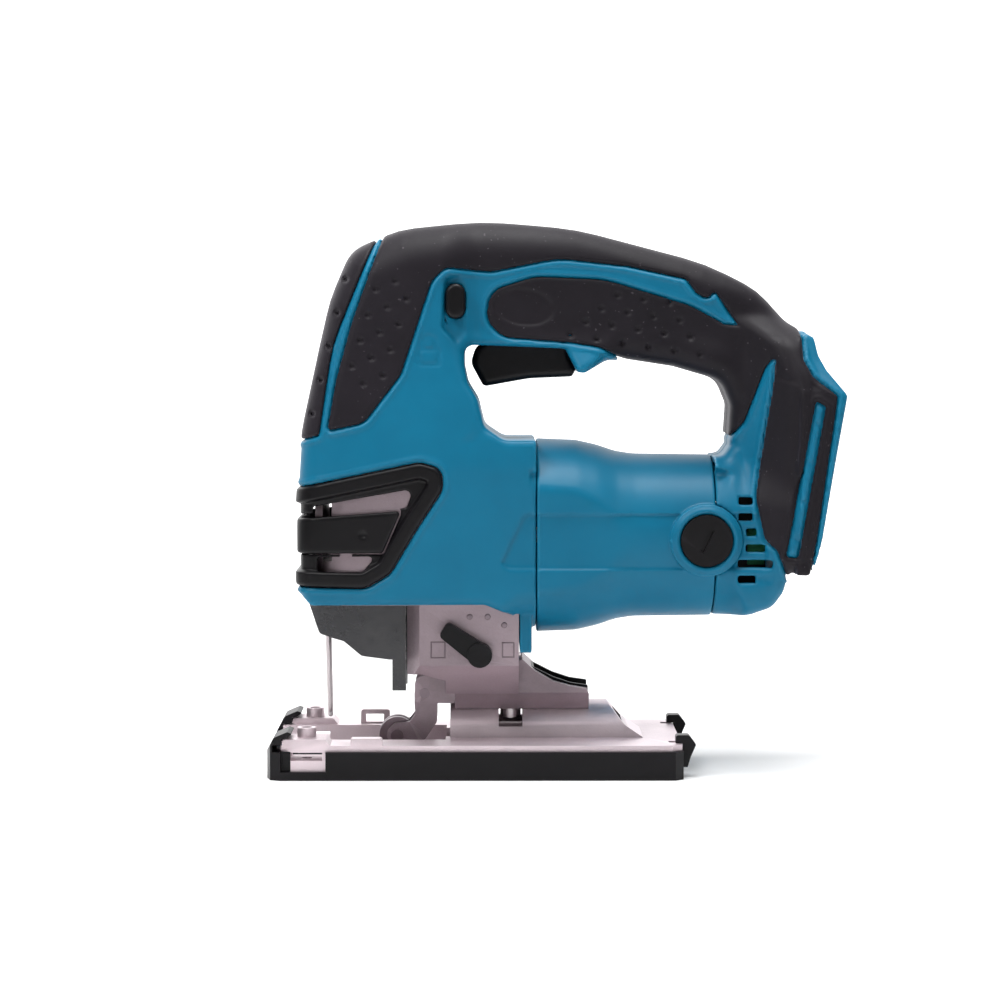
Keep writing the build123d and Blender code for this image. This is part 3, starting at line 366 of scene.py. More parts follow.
def moulded(name, field, grid, body, nodes, finish, mirror=False):
    """Meshes a field and puts it on its body in place of CAD nodes."""
    points, quads = without_crumbs(*surface(field, grid))
    obj = mesh_object(name, points, quads, mirror)
    obj.data.materials.append(finish)
    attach(obj, body)
    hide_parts(*nodes)
    return obj


# ---------------------------------------------------------------- the tool's outer form
def mount_axes(g):
    """Distances out of the battery mount's face and up its rails."""
    c, s = math.cos(MOUNT_TILT), math.sin(MOUNT_TILT)
    dx, dz = g.x - MOUNT_AT[0], g.z - MOUNT_AT[1]
    return dx * c - dz * s, dx * s + dz * c


def barrel(g):
    """The round motor case with a flat on each side."""
    radius = eased(g.x, BARREL, 6.0).astype(np.float32)
    across = np.hypot(g.y, g.z - MOTOR_Z) - radius
    return smax(across, g.ay - 32.0, 1.2)


def envelope(g):
    """The whole moulded body apart from the motor case."""
    side = np.maximum(g.outline(SILHOUETTE), -g.outline(FINGER_HOLE))
    brow = g.outline(BROW)
    nose_half = eased(g.z, NOSE_WIDTHS)
    to_handle = ramp(g.x + 4 * ramp(g.z, 150, 176), -40, -24) * ramp(g.z, 146, 172)
    half = toward(nose_half, HANDLE_HALF, to_handle)
    low_tail = ramp(g.x, 38, 60) * (1 - ramp(g.z, 100, 122))
    half = toward(half, toward(NOSE_HALF, FLANGE_HALF, ramp(g.x, 75, 91)), low_tail)
    column_half = smin(eased(g.x, COLUMN_WIDTHS, 5), eased(g.z, CAP_WIDTHS, 8), 3)
    column = ramp(g.x, 56, 72) * ramp(g.z, 100, 122)
    half = toward(half, column_half, column)
    edge = NOSE_EDGE_LOW + NOSE_EDGE_MORE * ramp(g.z, 74, 112)
    near_motor = ramp(g.x, -34, -24) * (1 - ramp(g.z, 128, 146)) * (1 - ramp(g.x, 50, 60))
    edge = toward(edge, MOTOR_EDGE, near_motor)
    edge = toward(edge, HANDLE_EDGE, to_handle)
    edge = toward(edge, TAIL_EDGE, low_tail)
    edge = toward(edge, COLUMN_EDGE, column)
    by_trigger = ramp(g.x, -48, -36) * (1 - ramp(g.x, 12, 26))
    by_trigger = by_trigger * ramp(g.z, 126, 134) * (1 - ramp(g.z, 170, 180))
    edge = toward(edge, TRIGGER_EDGE, by_trigger)
    half, edge = half.astype(np.float32), edge.astype(np.float32)
    body = pillow(side, half, g.ay, edge)
    brow_round = (9.3 + 7.7 * ramp(g.z, 150, 176)).astype(np.float32)
    body = smax(body, pillow(brow, half, g.ay, brow_round), 2.0)
    swell = NECK_RADIUS + 5.1 * np.logaddexp(0, (-20 - g.x) / 3.0)
    swell = swell + 10 * ramp(g.z, 98, 114) * (1 - ramp(g.x, -12.5, -9))
    tail = MOTOR_RADIUS + 5.1 * np.logaddexp(0, (g.x - 68) / 3.0)
    swell = toward(swell, tail, ramp(g.x, 20, 50)) + 200 * ramp(g.z, 114, 150)
    body = smax(body, np.hypot(g.y, g.z - MOTOR_Z) - swell.astype(np.float32), 2.0)
    flange_half = eased(g.z, FLANGE_WIDTHS, 4)
    flange = pillow(g.outline(FLANGE), flange_half.astype(np.float32), g.ay, 1.3)
    return smin(body, flange, 1.5)


def pads(g):
    """The rubber areas in side view: outline fields of all the grips joined."""
    grip = g.outline(FRONT_PAD)
    for points in (TOP_GRIP, PALM_GRIP):
        grip = np.minimum(grip, g.outline(points))
    rear = np.maximum(g.outline(REAR_PAD), -g.outline(REAR_SLOT))
    return np.minimum(grip, rear)


def battery_socket(g):
    """The undercut channel that a battery's rails slide into from below."""
    out, up = mount_axes(g)
    mouth = np.maximum(np.maximum(-3.2 - out, g.ay - 26), up - SOCKET_TOP)
    rails = np.maximum(np.maximum(-10 - out, out + 3.2),
                       np.maximum(g.ay - 30.5, up - SOCKET_TOP))
    latch = np.maximum(np.maximum(-14 - out, out + 9), np.maximum(g.ay - 9, np.abs(up - 35) - 5))
    return np.minimum(np.minimum(mouth, rails), latch)


def button_hole(g):
    """The oval hole of the lock button."""
    dz = np.maximum(np.abs(g.z - BUTTON[1]) - 2.8, 0)
    return np.hypot(g.x - BUTTON[0], dz) - 3.8


def trigger_room(g):
    """The pocket under the handle that the trigger moves in."""
    return np.maximum(g.outline(TRIGGER_POCKET), g.ay - 9.9)


def vents(g):
    """The boxes of the cooling vents, top row first."""
    return [g.box((x0, VENT_Y[0], top - VENT_HIGH), (x1, VENT_Y[1], top))
            for x0, x1, top in VENT_ROWS]


def sunk_panel(g):
    """How deep the side panel lies, on the nose and on the motor case alike."""
    return PANEL_SINK * ramp(-g.outline(SIDE_PANEL), -0.1, 0.7) * (g.ay > PANEL_FROM)


def screw_holes(g, side_y):
    """Counterbores for the pan heads on the right-hand side."""
    hole = np.full(1, 1e3, np.float32)
    for x, z, side in SCREWS:
        hole = np.minimum(hole, np.maximum(g.rod_y(x, z, 3.15), side - 2.4 - side_y))
    return hole


def housing_field(g, right):
    """One half shell, modelled on the +Y side."""
    whole = envelope(g)
    grip = pads(g)
    window = g.outline(WINDOW)
    skin = whole + SHELL_SINK
    skin = skin - ridge(grip - 1.5, height=0.55, width=0.6)
    skin = skin - ridge(window - 1.9, height=0.6, width=0.65)
    skin = skin + sunk_panel(g)
    well = g.outline(BUTTON_WELL)
    slope = 0.4 + 1.9 * (1 - ramp(g.x, -44, -33.5))
    skin = skin + slope * ramp(-well, -0.2, 1.6)
    slot = g.outline(REAR_SLOT)
    skin = skin + 0.5 * ramp(-slot, -0.3, 0.3)
    for k in range(4):
        spot = g.rod_y(97.8 - 2.6 * k, 134.0 - 14.4 * k, 0.0)
        skin = skin + ridge(spot, height=0.6, width=1.0)
    shackle = np.abs(np.hypot(g.x + 47.9, g.z - 164.4) - 2.7)
    shackle = np.where(g.z > 163.2, shackle, 9)
    body_line = np.abs(g.outline(PADLOCK_BODY))
    skin = skin + ridge(np.minimum(shackle, body_line), height=0.5, width=0.6)

    pocket = np.maximum(grip - PAD_GAP, -(whole + GRIP_DEPTH + 0.05))
    shell = smax(skin, -pocket, 0.7)
    out, up = mount_axes(g)
    floor = np.maximum(out + 10, -12.6 - out)
    terminal = np.maximum(g.ay - 14.3, np.abs(up - 18) - 10.3)
    floor = np.maximum(floor, -terminal)
    hollow = np.maximum(whole + SHELL_WALL, -floor)
    shell = np.maximum(shell, -hollow)
    shell = smin(shell, g.box(*REAR_GUARD), 0.8)
    shell = smax(shell, -np.maximum(window - 0.15, g.x + 30), 0.6)
    shell = smax(shell, -battery_socket(g), 0.4)
    shell = np.maximum(shell, -button_hole(g))
    shell = np.maximum(shell, -trigger_room(g))
    for vent in vents(g):
        shell = smax(shell, -vent, 0.35)
    lowest = VENT_ROWS[-1][2]
    tray = g.box((75.9, 0, lowest - VENT_HIGH), (81.8, VENT_Y[1], lowest))
    shell = smax(shell, -np.maximum(tray, -(whole + 0.9)), 0.35)
    for corners in CASTING_ROOMS:
        shell = np.maximum(shell, -g.box(*corners))
    motor = g.box((MOTOR_FRONT - MOTOR_GAP, -60, 20), (MOTOR_REAR + MOTOR_GAP, 60, 131))
    bearing = np.hypot(g.y, g.z - MOTOR_Z)
    motor = np.minimum(motor, np.maximum(bearing - 22, np.maximum(58 - g.x, g.x - 68)))
    motor = np.minimum(motor, np.maximum(bearing - 27.6, np.maximum(-14 - g.x, g.x + 5)))
    shell = smax(shell, -motor, 0.5)
    shell = smax(shell, -np.maximum(g.rod_y(BRUSH[0], BRUSH[1], 13.7), 20 - g.ay), 0.5)
    if right:
        shell = np.maximum(shell, -screw_holes(g, g.y))
    return np.maximum(shell, SEAM - g.y)


def lattice(g, start, along, down, rows):
    """Distance to the nearest dimple centre; rows lists (first, last) along each row."""
    best = np.full(1, 50.0, np.float32)
    for j, (first, last) in enumerate(rows):
        for i in range(first, last + 1):
            x = start[0] + i * along[0] + j * down[0]
            z = start[1] + i * along[1] + j * down[1]
            best = np.minimum(best, g.rod_y(x, z, 0.0))
    return best


def grip_field(g, right):
    """The rubber skin over one half, modelled on the +Y side."""
    whole = envelope(g)
    zone = pads(g)
    slot = g.outline(REAR_SLOT)
    face = g.outline(REAR_FRAME)
    dimple = lattice(g, *DIMPLES[0])
    for pattern in DIMPLES[1:]:
        dimple = np.minimum(dimple, lattice(g, *pattern))
    skin = whole + 1.0 * np.exp(-(dimple / 1.15) ** 4)
    thumb = np.hypot((g.x + 12.0 + 0.25 * (g.z - 178)) / 12.2, (g.z - 178.3) / 7.6)
    skin = skin + 0.7 * (1 - ramp(thumb, 0.86, 1.0)) * (g.ay > 12)
    skin = skin + 0.35 * (1 - ramp(face, -0.9, -0.1)) * (g.z < 153) * (g.z > 78)
    skin = skin - ridge(np.abs(slot - 1.9), height=0.55, width=0.9) * (g.ay > 30)
    crease = ridge(g.outline(REAR_CREASE), height=0.4, width=1.1)
    skin = skin + crease * (g.ay > 18) * ramp(g.x, 78, 84)
    grip = smax(skin, zone + PAD_GAP, 1.5)
    grip = np.maximum(grip, -(whole + GRIP_DEPTH))
    grip = smax(grip, -battery_socket(g), 0.4)
    grip = np.maximum(grip, -(button_hole(g) - 0.2))
    grip = np.maximum(grip, -trigger_room(g))
    for vent in vents(g):
        grip = np.maximum(grip, -vent)
    if right:
        grip = smax(grip, -screw_holes(g, g.y), 0.3)
    return np.maximum(grip, SEAM - g.y)


def frame_field(g):
    """The grille round one window of the nose, modelled on the +Y side."""
    whole = envelope(g)
    window = g.outline(WINDOW)
    sunk = ramp(-window, 5.2, 6.6)
    skin = whole - 0.55 + 2.0 * sunk
    ring = smax(skin, window + 0.12, 1.6)
    ring = np.maximum(ring, -(whole + 3.0))
    for points in (SLOT_HIGH, SLOT_LOW):
        ring = smax(ring, -g.outline(points), 0.8)
    opener = g.outline(OPENER)
    raised = np.concatenate([opener[:, :, :2], opener[:, :, :-2]], axis=2)
    ring = np.maximum(ring, -(np.minimum(opener, raised) - 0.4))
    ring = np.maximum(ring, -g.box((-81.6, 26, 80), (-77.4, 34, 104)))
    return np.maximum(ring, SEAM - g.y)


def opener_field(g):
    """The blade release lever: a bar round the nose, pivoted on the right."""
    whole = envelope(g)
    side = g.outline(OPENER)
    dimple = np.hypot(g.x + 73.0, g.z - 92.3)
    skin = whole + 0.1 + 0.7 * np.exp(-(dimple / 1.2) ** 4) * (g.y < 0)
    lever = smax(skin, side + 0.1, 1.2)
    lever = np.maximum(lever, -(whole + 2.2))
    x, y = OPENER_PIVOT
    right_cut = np.maximum(x - g.x, -g.y)
    lever = np.maximum(lever, -right_cut)
    from_pin = np.hypot(g.x - x, g.y - y)
    hub = np.maximum(from_pin - 2.2, np.abs(g.z - 91.3) - 5.2)
    lever = smin(lever, hub, 0.6)
    return np.maximum(lever, -(from_pin - 1.25))


def trigger_field(g):
    """The trigger's rounded finger face; its top runs up between the two shells."""
    return pillow(g.outline(TRIGGER), 9.0, g.ay, 2.6)


def button_field(g):
    """The lock button: an oval bar with domed ends."""
    dz = np.maximum(np.abs(g.z - BUTTON[1]) - 2.9, 0)
    oval = np.hypot(g.x - BUTTON[0], dz) - 3.72
    return pillow(oval, BUTTON_HALF, np.abs(g.y - BUTTON_MID), 1.6)


def motor_field(g):
    """The motor case between the nose and the tail, with the rings of the brush caps."""
    case = barrel(g)
    skin = case + SHELL_SINK + sunk_panel(g)
    shell = np.maximum(skin, -(case + 3.0))
    ends = np.maximum(MOTOR_FRONT + MOTOR_GAP - g.x, g.x - MOTOR_REAR + MOTOR_GAP)
    shell = smax(shell, ends, 0.5)
    radius = g.rod_y(BRUSH[0], BRUSH[1], 0.0)
    collar = np.maximum(radius - 13.6, np.maximum(g.ay - 32.1, 24.5 - g.ay))
    shell = smin(shell, collar, 0.3)
    lip = np.hypot(radius - 11.3, g.ay - 32.0) - 1.25
    shell = smin(shell, lip, 0.8)
    bore = np.maximum(radius - 9.85, 28.2 - g.ay)
    shell = smax(shell, -bore, 0.3)
    inner = np.maximum(np.hypot(g.y, g.z - MOTOR_Z) - 27.5, np.maximum(5 - g.x, g.x - 54))
    return np.maximum(shell, -inner)


# ---------------------------------------------------------------- materials
def material(name):
    """An empty node material with its shader."""
    made = bpy.data.materials.new(name)
    made.use_nodes = True
    tree = made.node_tree
    return made, tree.nodes, tree.links, tree.nodes["Principled BSDF"]


def noise(nodes, links, scale, detail=4.0, rough=0.6):
    """Noise in object space, scale per metre."""
    place = nodes.new("ShaderNodeTexCoord")
    tex = nodes.new("ShaderNodeTexNoise")
    tex.inputs["Scale"].default_value = scale
    tex.inputs["Detail"].default_value = detail
    tex.inputs["Roughness"].default_value = rough
    links.new(place.outputs["Object"], tex.inputs["Vector"])
    return tex.outputs["Fac"]


def spread(nodes, links, value, low, high, start=0.0, stop=1.0):
    """Maps a 0..1 value between start and stop to low..high."""
    span = nodes.new("ShaderNodeMapRange")
    span.inputs["From Min"].default_value = start
    span.inputs["From Max"].default_value = stop
    span.inputs["To Min"].default_value = low
    span.inputs["To Max"].default_value = high
    links.new(value, span.inputs["Value"])
    return span.outputs["Result"]


def tint(nodes, links, factor, dark, light):
    """A colour between two, by a factor."""
    mix = nodes.new("ShaderNodeMix")
    mix.data_type = "RGBA"
    mix.inputs["A"].default_value = (*dark, 1)
    mix.inputs["B"].default_value = (*light, 1)
    links.new(factor, mix.inputs["Factor"])
    return mix.outputs["Result"]


def bump(nodes, links, height, distance, strength=1.0, under=None):
    """A bump of a height field, in metres."""
    made = nodes.new("ShaderNodeBump")
    made.inputs["Distance"].default_value = distance
    made.inputs["Strength"].default_value = strength
    links.new(height, made.inputs["Height"])
    if under is not None:
        links.new(under, made.inputs["Normal"])
    return made.outputs["Normal"]


def edges(nodes, links, start=0.52, stop=0.6):
    """1 on convex edges, 0 elsewhere."""
    place = nodes.new("ShaderNodeNewGeometry")
    return spread(nodes, links, place.outputs["Pointiness"], 0.0, 1.0, start, stop)


def moulded_plastic(name, dark, light, worn, rough, grain=2600.0, depth=0.00004, coat=0.0):
    """Textured injection moulding: fine grain, faint mottling, polish on the edges."""
    made, nodes, links, shader = material(name)
    mottle = noise(nodes, links, 28.0, 3.0)
    body = tint(nodes, links, spread(nodes, links, mottle, 0, 1, 0.3, 0.7), dark, light)
    wear = nodes.new("ShaderNodeMix")
    wear.data_type = "RGBA"
    wear.inputs["B"].default_value = (*worn, 1)
    links.new(body, wear.inputs["A"])
    links.new(spread(nodes, links, edges(nodes, links), 0.0, 0.55), wear.inputs["Factor"])
    links.new(wear.outputs["Result"], shader.inputs["Base Color"])
    fine = noise(nodes, links, grain, 2.0, 0.5)
    links.new(spread(nodes, links, noise(nodes, links, 90.0, 5.0), rough - 0.06, rough + 0.08),
              shader.inputs["Roughness"])
    links.new(bump(nodes, links, fine, depth, 0.55), shader.inputs["Normal"])
    shader.inputs["Specular IOR Level"].default_value = 0.22
    shader.inputs["Coat Weight"].default_value = coat
    shader.inputs["Coat Roughness"].default_value = 0.3
    return made


def rubber(name, dark, light):
    """Charcoal elastomer: soft sheen, pimpled skin, a few pale specks of dust."""
    made, nodes, links, shader = material(name)
    mottle = noise(nodes, links, 22.0, 4.0)
    body = tint(nodes, links, spread(nodes, links, mottle, 0, 1, 0.3, 0.7), dark, light)
    speck = noise(nodes, links, 760.0, 1.0, 0.4)
    dust = nodes.new("ShaderNodeMix")
    dust.data_type = "RGBA"
    dust.inputs["B"].default_value = (0.07, 0.062, 0.072, 1)
    links.new(body, dust.inputs["A"])
    links.new(spread(nodes, links, speck, 0.0, 0.75, 0.735, 0.80), dust.inputs["Factor"])
    links.new(dust.outputs["Result"], shader.inputs["Base Color"])
    links.new(spread(nodes, links, noise(nodes, links, 60.0, 5.0), 0.46, 0.62),
              shader.inputs["Roughness"])
    skin = noise(nodes, links, 3000.0, 2.0, 0.6)
    links.new(bump(nodes, links, skin, 0.00006, 0.6), shader.inputs["Normal"])
    shader.inputs["Specular IOR Level"].default_value = 0.18
    shader.inputs["Sheen Weight"].default_value = 0.10
    shader.inputs["Sheen Roughness"].default_value = 0.45
    shader.inputs["Sheen Tint"].default_value = (0.80, 0.72, 0.86, 1)
    return made


def cast_metal(name, dark, light, rough, grain=1300.0, depth=0.00012):
    """Blasted casting: sparkle from a coarse grain, brighter rubbed edges."""
    made, nodes, links, shader = material(name)
    cloud = noise(nodes, links, 40.0, 5.0)
    body = tint(nodes, links, spread(nodes, links, cloud, 0, 1, 0.3, 0.7), dark, light)
    rub = nodes.new("ShaderNodeMix")
    rub.data_type = "RGBA"
    rub.inputs["B"].default_value = (min(1, light[0] * 1.25), min(1, light[1] * 1.25),
                                     min(1, light[2] * 1.25), 1)
    links.new(body, rub.inputs["A"])
    links.new(spread(nodes, links, edges(nodes, links, 0.51, 0.57), 0.0, 0.8),
              rub.inputs["Factor"])
    links.new(rub.outputs["Result"], shader.inputs["Base Color"])
    fine = noise(nodes, links, grain, 3.0, 0.7)
    links.new(spread(nodes, links, fine, rough - 0.12, rough + 0.12, 0.3, 0.7),
              shader.inputs["Roughness"])
    links.new(bump(nodes, links, fine, depth, 0.7), shader.inputs["Normal"])
    shader.inputs["Metallic"].default_value = 0.6
    return made


def worked_metal(name, dark, light, rough, metallic=1.0, stretch=(40.0, 1400.0, 40.0)):
    """Turned, ground or drawn metal with fine directional marks."""
    made, nodes, links, shader = material(name)
    place = nodes.new("ShaderNodeTexCoord")
    sized = nodes.new("ShaderNodeVectorMath")
    sized.operation = "MULTIPLY"
    sized.inputs[1].default_value = stretch
    links.new(place.outputs["Object"], sized.inputs[0])
    marks = nodes.new("ShaderNodeTexNoise")
    marks.inputs["Scale"].default_value = 1.0
    marks.inputs["Detail"].default_value = 4.0
    links.new(sized.outputs["Vector"], marks.inputs["Vector"])
    value = marks.outputs["Fac"]
    links.new(tint(nodes, links, spread(nodes, links, value, 0, 1, 0.3, 0.7), dark, light),
              shader.inputs["Base Color"])
    links.new(spread(nodes, links, value, rough - 0.07, rough + 0.1), shader.inputs["Roughness"])
    links.new(bump(nodes, links, value, 0.00003, 0.5), shader.inputs["Normal"])
    shader.inputs["Metallic"].default_value = metallic
    return made


def smoked_plastic(name):
    """Dark translucent polycarbonate with faint flow lines and smears."""
    made, nodes, links, shader = material(name)
    flow = noise(nodes, links, 55.0, 5.0, 0.65)
    links.new(tint(nodes, links, flow, (0.006, 0.0055, 0.008), (0.018, 0.017, 0.024)),
              shader.inputs["Base Color"])
    links.new(spread(nodes, links, flow, 0.10, 0.32, 0.3, 0.7), shader.inputs["Roughness"])
    links.new(bump(nodes, links, flow, 0.0008, 0.35), shader.inputs["Normal"])
    shader.inputs["Transmission Weight"].default_value = 0.18
    shader.inputs["IOR"].default_value = 1.5
    shader.inputs["Coat Weight"].default_value = 0.25
    shader.inputs["Coat Roughness"].default_value = 0.12
    return made


TEAL = moulded_plastic("teal_moulding", (0.0010, 0.128, 0.232), (0.0016, 0.150, 0.268),
                       (0.030, 0.290, 0.470), 0.44, coat=0.04)
BLACK = moulded_plastic("black_moulding", (0.0022, 0.0019, 0.0026), (0.0038, 0.0032, 0.0044),
                        (0.012, 0.010, 0.013), 0.40)
RUBBER = rubber("charcoal_rubber", (0.0075, 0.0060, 0.0086), (0.0125, 0.0100, 0.0142))
CAST = cast_metal("cast_aluminium", (0.20, 0.158, 0.175), (0.30, 0.240, 0.265), 0.44)
# the shoe is the same cast aluminium, painted lighter: painted light for the light falling on its
# upward-facing top
SHOE_PAINTED_LIGHT = cast_metal("shoe_painted_light", (0.53, 0.446, 0.476), (0.68, 0.578, 0.614), 0.40)
STEEL = worked_metal("bright_steel", (0.50, 0.45, 0.46), (0.66, 0.60, 0.62), 0.30)
DARK_STEEL = worked_metal("dark_steel", (0.165, 0.13, 0.145), (0.26, 0.21, 0.235), 0.38)
BRASS = worked_metal("brass", (0.66, 0.46, 0.16), (0.80, 0.58, 0.24), 0.30)
BRONZE = worked_metal("sintered_bronze", (0.40, 0.23, 0.10), (0.52, 0.32, 0.15), 0.45)
COPPER = worked_metal("copper", (0.70, 0.28, 0.12), (0.86, 0.38, 0.18), 0.28,
                      stretch=(2600.0, 60.0, 60.0))
CARBON = moulded_plastic("carbon", (0.012, 0.012, 0.012), (0.024, 0.024, 0.024),
                         (0.06, 0.06, 0.06), 0.55)
FERRITE = moulded_plastic("ferrite", (0.025, 0.024, 0.026), (0.045, 0.043, 0.046),
                          (0.09, 0.09, 0.09), 0.5)
LAMINATION = worked_metal("laminated_steel", (0.20, 0.19, 0.20), (0.36, 0.34, 0.36), 0.42,
                          stretch=(2800.0, 30.0, 30.0))
SMOKED = smoked_plastic("smoked_plastic")
CLEAR = smoked_plastic("clear_plastic")     # the lamp lens shares the smoked look
BOARD = moulded_plastic("circuit_board", (0.002, 0.120, 0.040), (0.004, 0.200, 0.070),
                        (0.03, 0.30, 0.12), 0.35)
# finish of each CAD material, and of single nodes that differ from it
FINISHES = {"teal_plastic": TEAL, "black_plastic": BLACK, "elastomer": RUBBER,
            "smoked_plastic": SMOKED, "clear_plastic": CLEAR, "cast_aluminium": CAST,
            "steel": STEEL, "dark_steel": DARK_STEEL, "brass": BRASS, "bronze": BRONZE,
            "copper": COPPER, "carbon": CARBON, "ferrite": FERRITE, "lamination": LAMINATION}
# the base shoe's finish is the cast aluminium painted lighter, as painted light on its top
SPECIAL = {"base_shoe": SHOE_PAINTED_LIGHT, "housing_screws": DARK_STEEL, "roller_arm_pin": DARK_STEEL,
           "guide_roller": DARK_STEEL, "roller_pin": DARK_STEEL, "roller_arm": CAST}


WELD_REACH = 0.00001        # metres
EDGE_WIDTH = 0.00035        # metres
EDGE_ANGLE = math.radians(32)


def dress_nodes():
    """Every CAD node gets its finish, and a small rounding on its hard edges."""
    for name, node in NODES.items():
        old = node.data.materials[0].name if node.data.materials else ""
        key = next((k for k in sorted(FINISHES, key=len, reverse=True) if old.startswith(k)), None)
        finish = SPECIAL.get(name, FINISHES.get(key, BLACK))
        node.data.materials.clear()
        node.data.materials.append(finish)
        weld = node.modifiers.new("weld", "WELD")
        weld.merge_threshold = WELD_REACH
        bevel = node.modifiers.new("soft_edges", "BEVEL")
        bevel.width = EDGE_WIDTH
        bevel.segments = 2
        bevel.limit_method = "ANGLE"
        bevel.angle_limit = EDGE_ANGLE
        bevel.harden_normals = False
        node.data.polygons.foreach_set("use_smooth", np.ones(len(node.data.polygons), bool))
        shade = node.modifiers.new("shading", "WEIGHTED_NORMAL")
        shade.keep_sharp = False


dress_nodes()


# ---------------------------------------------------------------- moulded pieces
def build_shells():
    """Meshes every moulded piece; the left half is the right one mirrored, without screws."""
    g = Grid((-101, -1.5, 44), (111, 39.5, 213.5), SHELL_CELL)
    left = housing_field(g, False)
    moulded("shell_left", left, g, "housing", ["housing_left"], TEAL, mirror=True)
    right = housing_field(g, True)
    moulded("shell_right", right, g, "housing", ["housing_right"], TEAL)
    g = Grid((-101, -1.2, 74), (111, 39.5, 213.5), GRIP_CELL)
    left = grip_field(g, False)
    moulded("rubber_left", left, g, "housing", ["grip_left"], RUBBER, mirror=True)
    right = grip_field(g, True)
    moulded("rubber_right", right, g, "housing", ["grip_right"], RUBBER)
    g = Grid((-36, -11, 145), (11, 11, 169.5), FINE_CELL)
    moulded("trigger_shell", trigger_field(g), g, "trigger", ["trigger"], BLACK)
    g = Grid((-43, BUTTON_LOW - 2, 172), (-33, BUTTON_HIGH + 2, 189), FINE_CELL)
    moulded("lock_button_bar", button_field(g), g, "lock_button", ["lock_button"],
            BLACK)
    g = Grid((-9, -35, 50), (73, 35, 131), GRIP_CELL)
    moulded("motor_case", motor_field(g), g, "housing", ["motor_housing"], TEAL)
    g = Grid((-102, -1, 70), (-40, 34, 122), FINE_CELL)
    ring = frame_field(g)
    moulded("grille_left", ring, g, "housing", ["nose_frame_left"], BLACK,
            mirror=True)
    moulded("grille_right", ring, g, "housing", ["nose_frame_right"], BLACK)
    g = Grid((-102, -34, 83), (-56, 34.5, 104), FINE_CELL)
    moulded("blade_release_bar", opener_field(g), g, "release_lever", ["release_lever"],
            BLACK)


build_shells()


def bar(name, low, high, rounding, finish, body="housing"):
    """A small block with softened edges, corners in millimetres."""
    corners = [[(low, high)[i][0], (low, high)[j][1], (low, high)[k][2]]
               for i in (0, 1) for j in (0, 1) for k in (0, 1)]
    faces = [(0, 1, 3, 2), (4, 6, 7, 5), (0, 4, 5, 1), (2, 3, 7, 6), (0, 2, 6, 4), (1, 5, 7, 3)]
    mesh = bpy.data.meshes.new(name)
    mesh.from_pydata([[c * MM for c in p] for p in corners], [], faces)
    obj = bpy.data.objects.new(name, mesh)
    bpy.context.scene.collection.objects.link(obj)
    soft = obj.modifiers.new("edges", "BEVEL")
    soft.width, soft.segments = rounding * MM, 3
    mesh.materials.append(finish)
    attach(obj, body)
    return obj


def build_controller():
    """The circuit board that shows behind the vents, in front of a black carrier."""
    bar("controller_carrier", (67.6, -16.0, 70.5), (80.5, 16.0, 107.5), 0.8, BLACK)
    for side in (-1, 1):
        near, far = sorted((side * 16.3, side * 17.7))
        bar(f"controller_board_{'left' if side < 0 else 'right'}", (73.4, near, 80.0),
            (80.0, far, 96.0), 0.15, BOARD)


build_controller()


def disc(name, x, z, y, radius, depth, finish, body, side=-1):
    """A small domed button lying against a side face."""
    ring = 20
    rows = [(1.0, 0.0), (1.0, 0.6), (0.86, 0.9), (0.5, 1.0)]
    points, faces = [], []
    for share, height in rows:
        for k in range(ring):
            a = 2 * math.pi * k / ring
            points.append(((x + radius * share * math.cos(a)) * MM,
                           (y + side * depth * height) * MM,
                           (z + radius * share * math.sin(a)) * MM))
    for r in range(len(rows) - 1):
        for k in range(ring):
            n = (k + 1) % ring
            faces.append((r * ring + k, (r + 1) * ring + k, (r + 1) * ring + n, r * ring + n))
    faces.append(tuple(range(ring)))
    faces.append(tuple(reversed(range((len(rows) - 1) * ring, len(rows) * ring))))
    if side < 0:
        faces = [tuple(reversed(f)) for f in faces]
    mesh = bpy.data.meshes.new(name)
    mesh.from_pydata(points, [], faces)
    obj = bpy.data.objects.new(name, mesh)
    bpy.context.scene.collection.objects.link(obj)
    mesh.materials.append(finish)
    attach(obj, body)
    return obj


def frame_bars(name, centre, wide, high, y, finish):
    """A raised square sign border on the casting, as four thin bars."""
    x, z = centre
    t, rise = 0.5, 0.3
    for tag, box in (("top", (x - wide, z + high - t, x + wide, z + high)),
                     ("foot", (x - wide, z - high, x + wide, z - high + t)),
                     ("fore", (x - wide, z - high + t, x - wide + t, z + high - t)),
                     ("rear", (x + wide - t, z - high + t, x + wide, z + high - t))):
        bar(f"{name}_{tag}", (box[0], y - rise, box[1]), (box[2], y + 0.2, box[3]), 0.12, finish)


CASTING_SIDE = -25.0        # y of the casting's left face


def build_casting_marks():
    """Detent dots above the orbital lever, and the two sign frames beside it."""
    for k, (x, z) in enumerate(DETENTS):
        disc(f"detent_mark_{k + 1}", x, z, -24.9, 1.15, 0.4, DARK_STEEL,
             "housing")
    frame_bars("sign_fore", (-44.8, 48.0), 2.8, 3.2, CASTING_SIDE, DARK_STEEL)
    frame_bars("sign_rear", (-18.1, 48.0), 2.4, 3.0, CASTING_SIDE, DARK_STEEL)


build_casting_marks()


# ---------------------------------------------------------------- studio, in metres and watts
CAMERA_AT = (-0.0261, -1.1085, 0.1726)
CAMERA_LENS, CAMERA_SENSOR = 103.07, 36.0
CAMERA_PITCH, CAMERA_YAW = math.radians(3.56), math.radians(0.26)
FLOOR_HALF, FLOOR_BACK = 2, 0.55            # the floor stops behind the tool
AIM = (0, 0, 0.10)
LAMPS = (("key", (-0.42, -0.36, 0.64), 2.7, 0.25),
         ("fill", (0.7, -0.9, 0.95), 1.6, 0.5),
         ("top", (0.05, -0.10, 1.3), 19.0, 0.7),
         ("back", (-0.6, 1.1, 0.8), 3.0, 0.8))
WORLD_DIM, WORLD_BRIGHT = 0.12, 1.7         # on the camera's side, and behind the tool


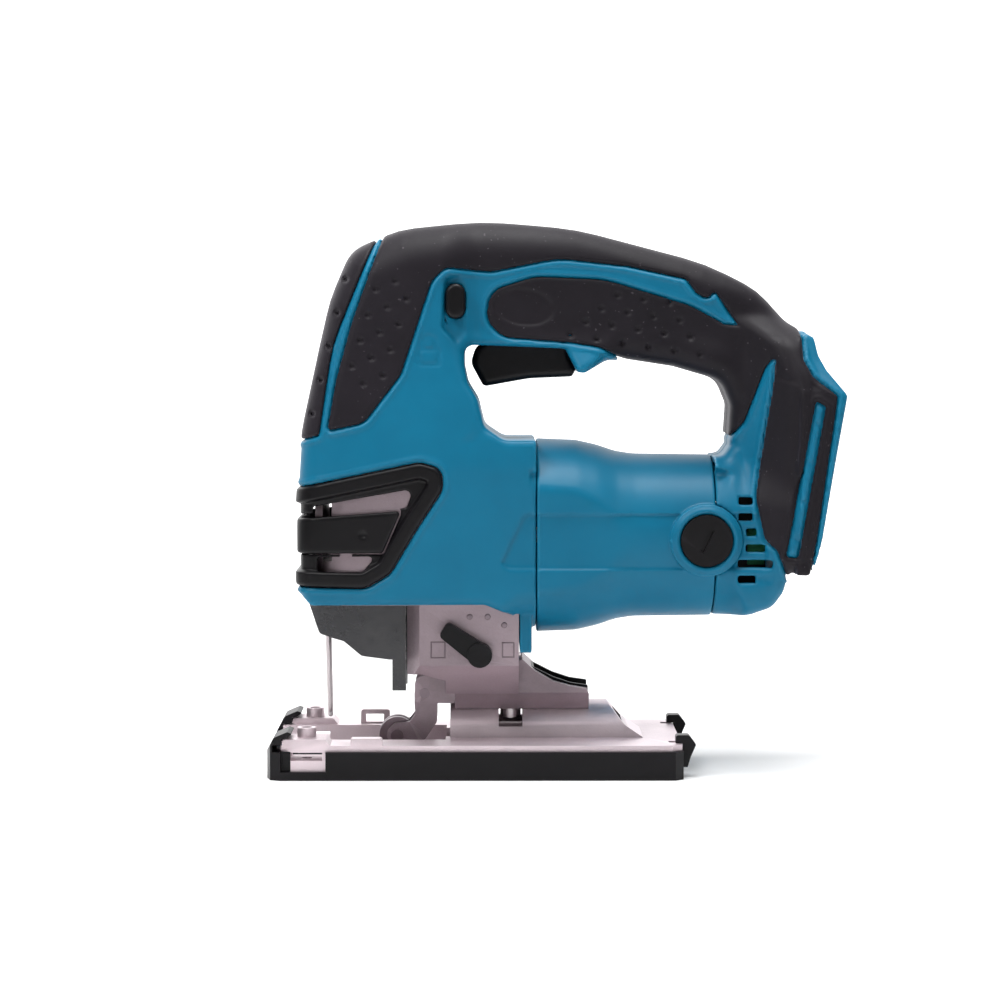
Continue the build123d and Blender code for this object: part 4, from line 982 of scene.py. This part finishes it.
def studio():
    """Camera at the tool's left side, a pale floor and soft lights."""
    data = bpy.data.cameras.new("camera")
    data.lens, data.sensor_width = CAMERA_LENS, CAMERA_SENSOR
    data.clip_start, data.clip_end = 0.05, 50
    camera = bpy.data.objects.new("camera", data)
    camera.location = CAMERA_AT
    camera.rotation_euler = (math.pi / 2 - CAMERA_PITCH, 0, -CAMERA_YAW)
    bpy.context.scene.collection.objects.link(camera)
    bpy.context.scene.camera = camera

    mesh = bpy.data.meshes.new("floor")
    corners = [(-FLOOR_HALF, -FLOOR_HALF, 0), (FLOOR_HALF, -FLOOR_HALF, 0),
               (FLOOR_HALF, FLOOR_BACK, 0), (-FLOOR_HALF, FLOOR_BACK, 0)]
    mesh.from_pydata(corners, [], [(0, 1, 2, 3)])
    floor = bpy.data.objects.new("floor", mesh)
    bpy.context.scene.collection.objects.link(floor)
    paint, nodes, links, shader = material("pale_floor")
    links.new(tint(nodes, links, noise(nodes, links, 3.0), (0.86, 0.86, 0.86), (0.90, 0.90, 0.90)),
              shader.inputs["Base Color"])
    shader.inputs["Roughness"].default_value = 0.8
    mesh.materials.append(paint)

    world = bpy.data.worlds.new("studio")
    world.use_nodes = True
    tree = world.node_tree
    place = tree.nodes.new("ShaderNodeTexCoord")
    split = tree.nodes.new("ShaderNodeSeparateXYZ")
    tree.links.new(place.outputs["Generated"], split.inputs["Vector"])
    glow = spread(tree.nodes, tree.links, split.outputs["Y"], WORLD_DIM, WORLD_BRIGHT,
                  0.25, 0.6)
    sky = tree.nodes["Background"]
    sky.inputs["Color"].default_value = (1.0, 1.0, 1.0, 1)
    tree.links.new(glow, sky.inputs["Strength"])
    bpy.context.scene.world = world

    bpy.context.scene.view_settings.view_transform = "Standard"

    centre = Vector(AIM)
    for name, place, power, size in LAMPS:
        lamp = bpy.data.lights.new(name, "AREA")
        lamp.energy, lamp.size = power, size
        obj = bpy.data.objects.new(name, lamp)
        obj.location = place
        obj.rotation_euler = (centre - Vector(place)).to_track_quat("-Z", "Y").to_euler()
        bpy.context.scene.collection.objects.link(obj)


studio()
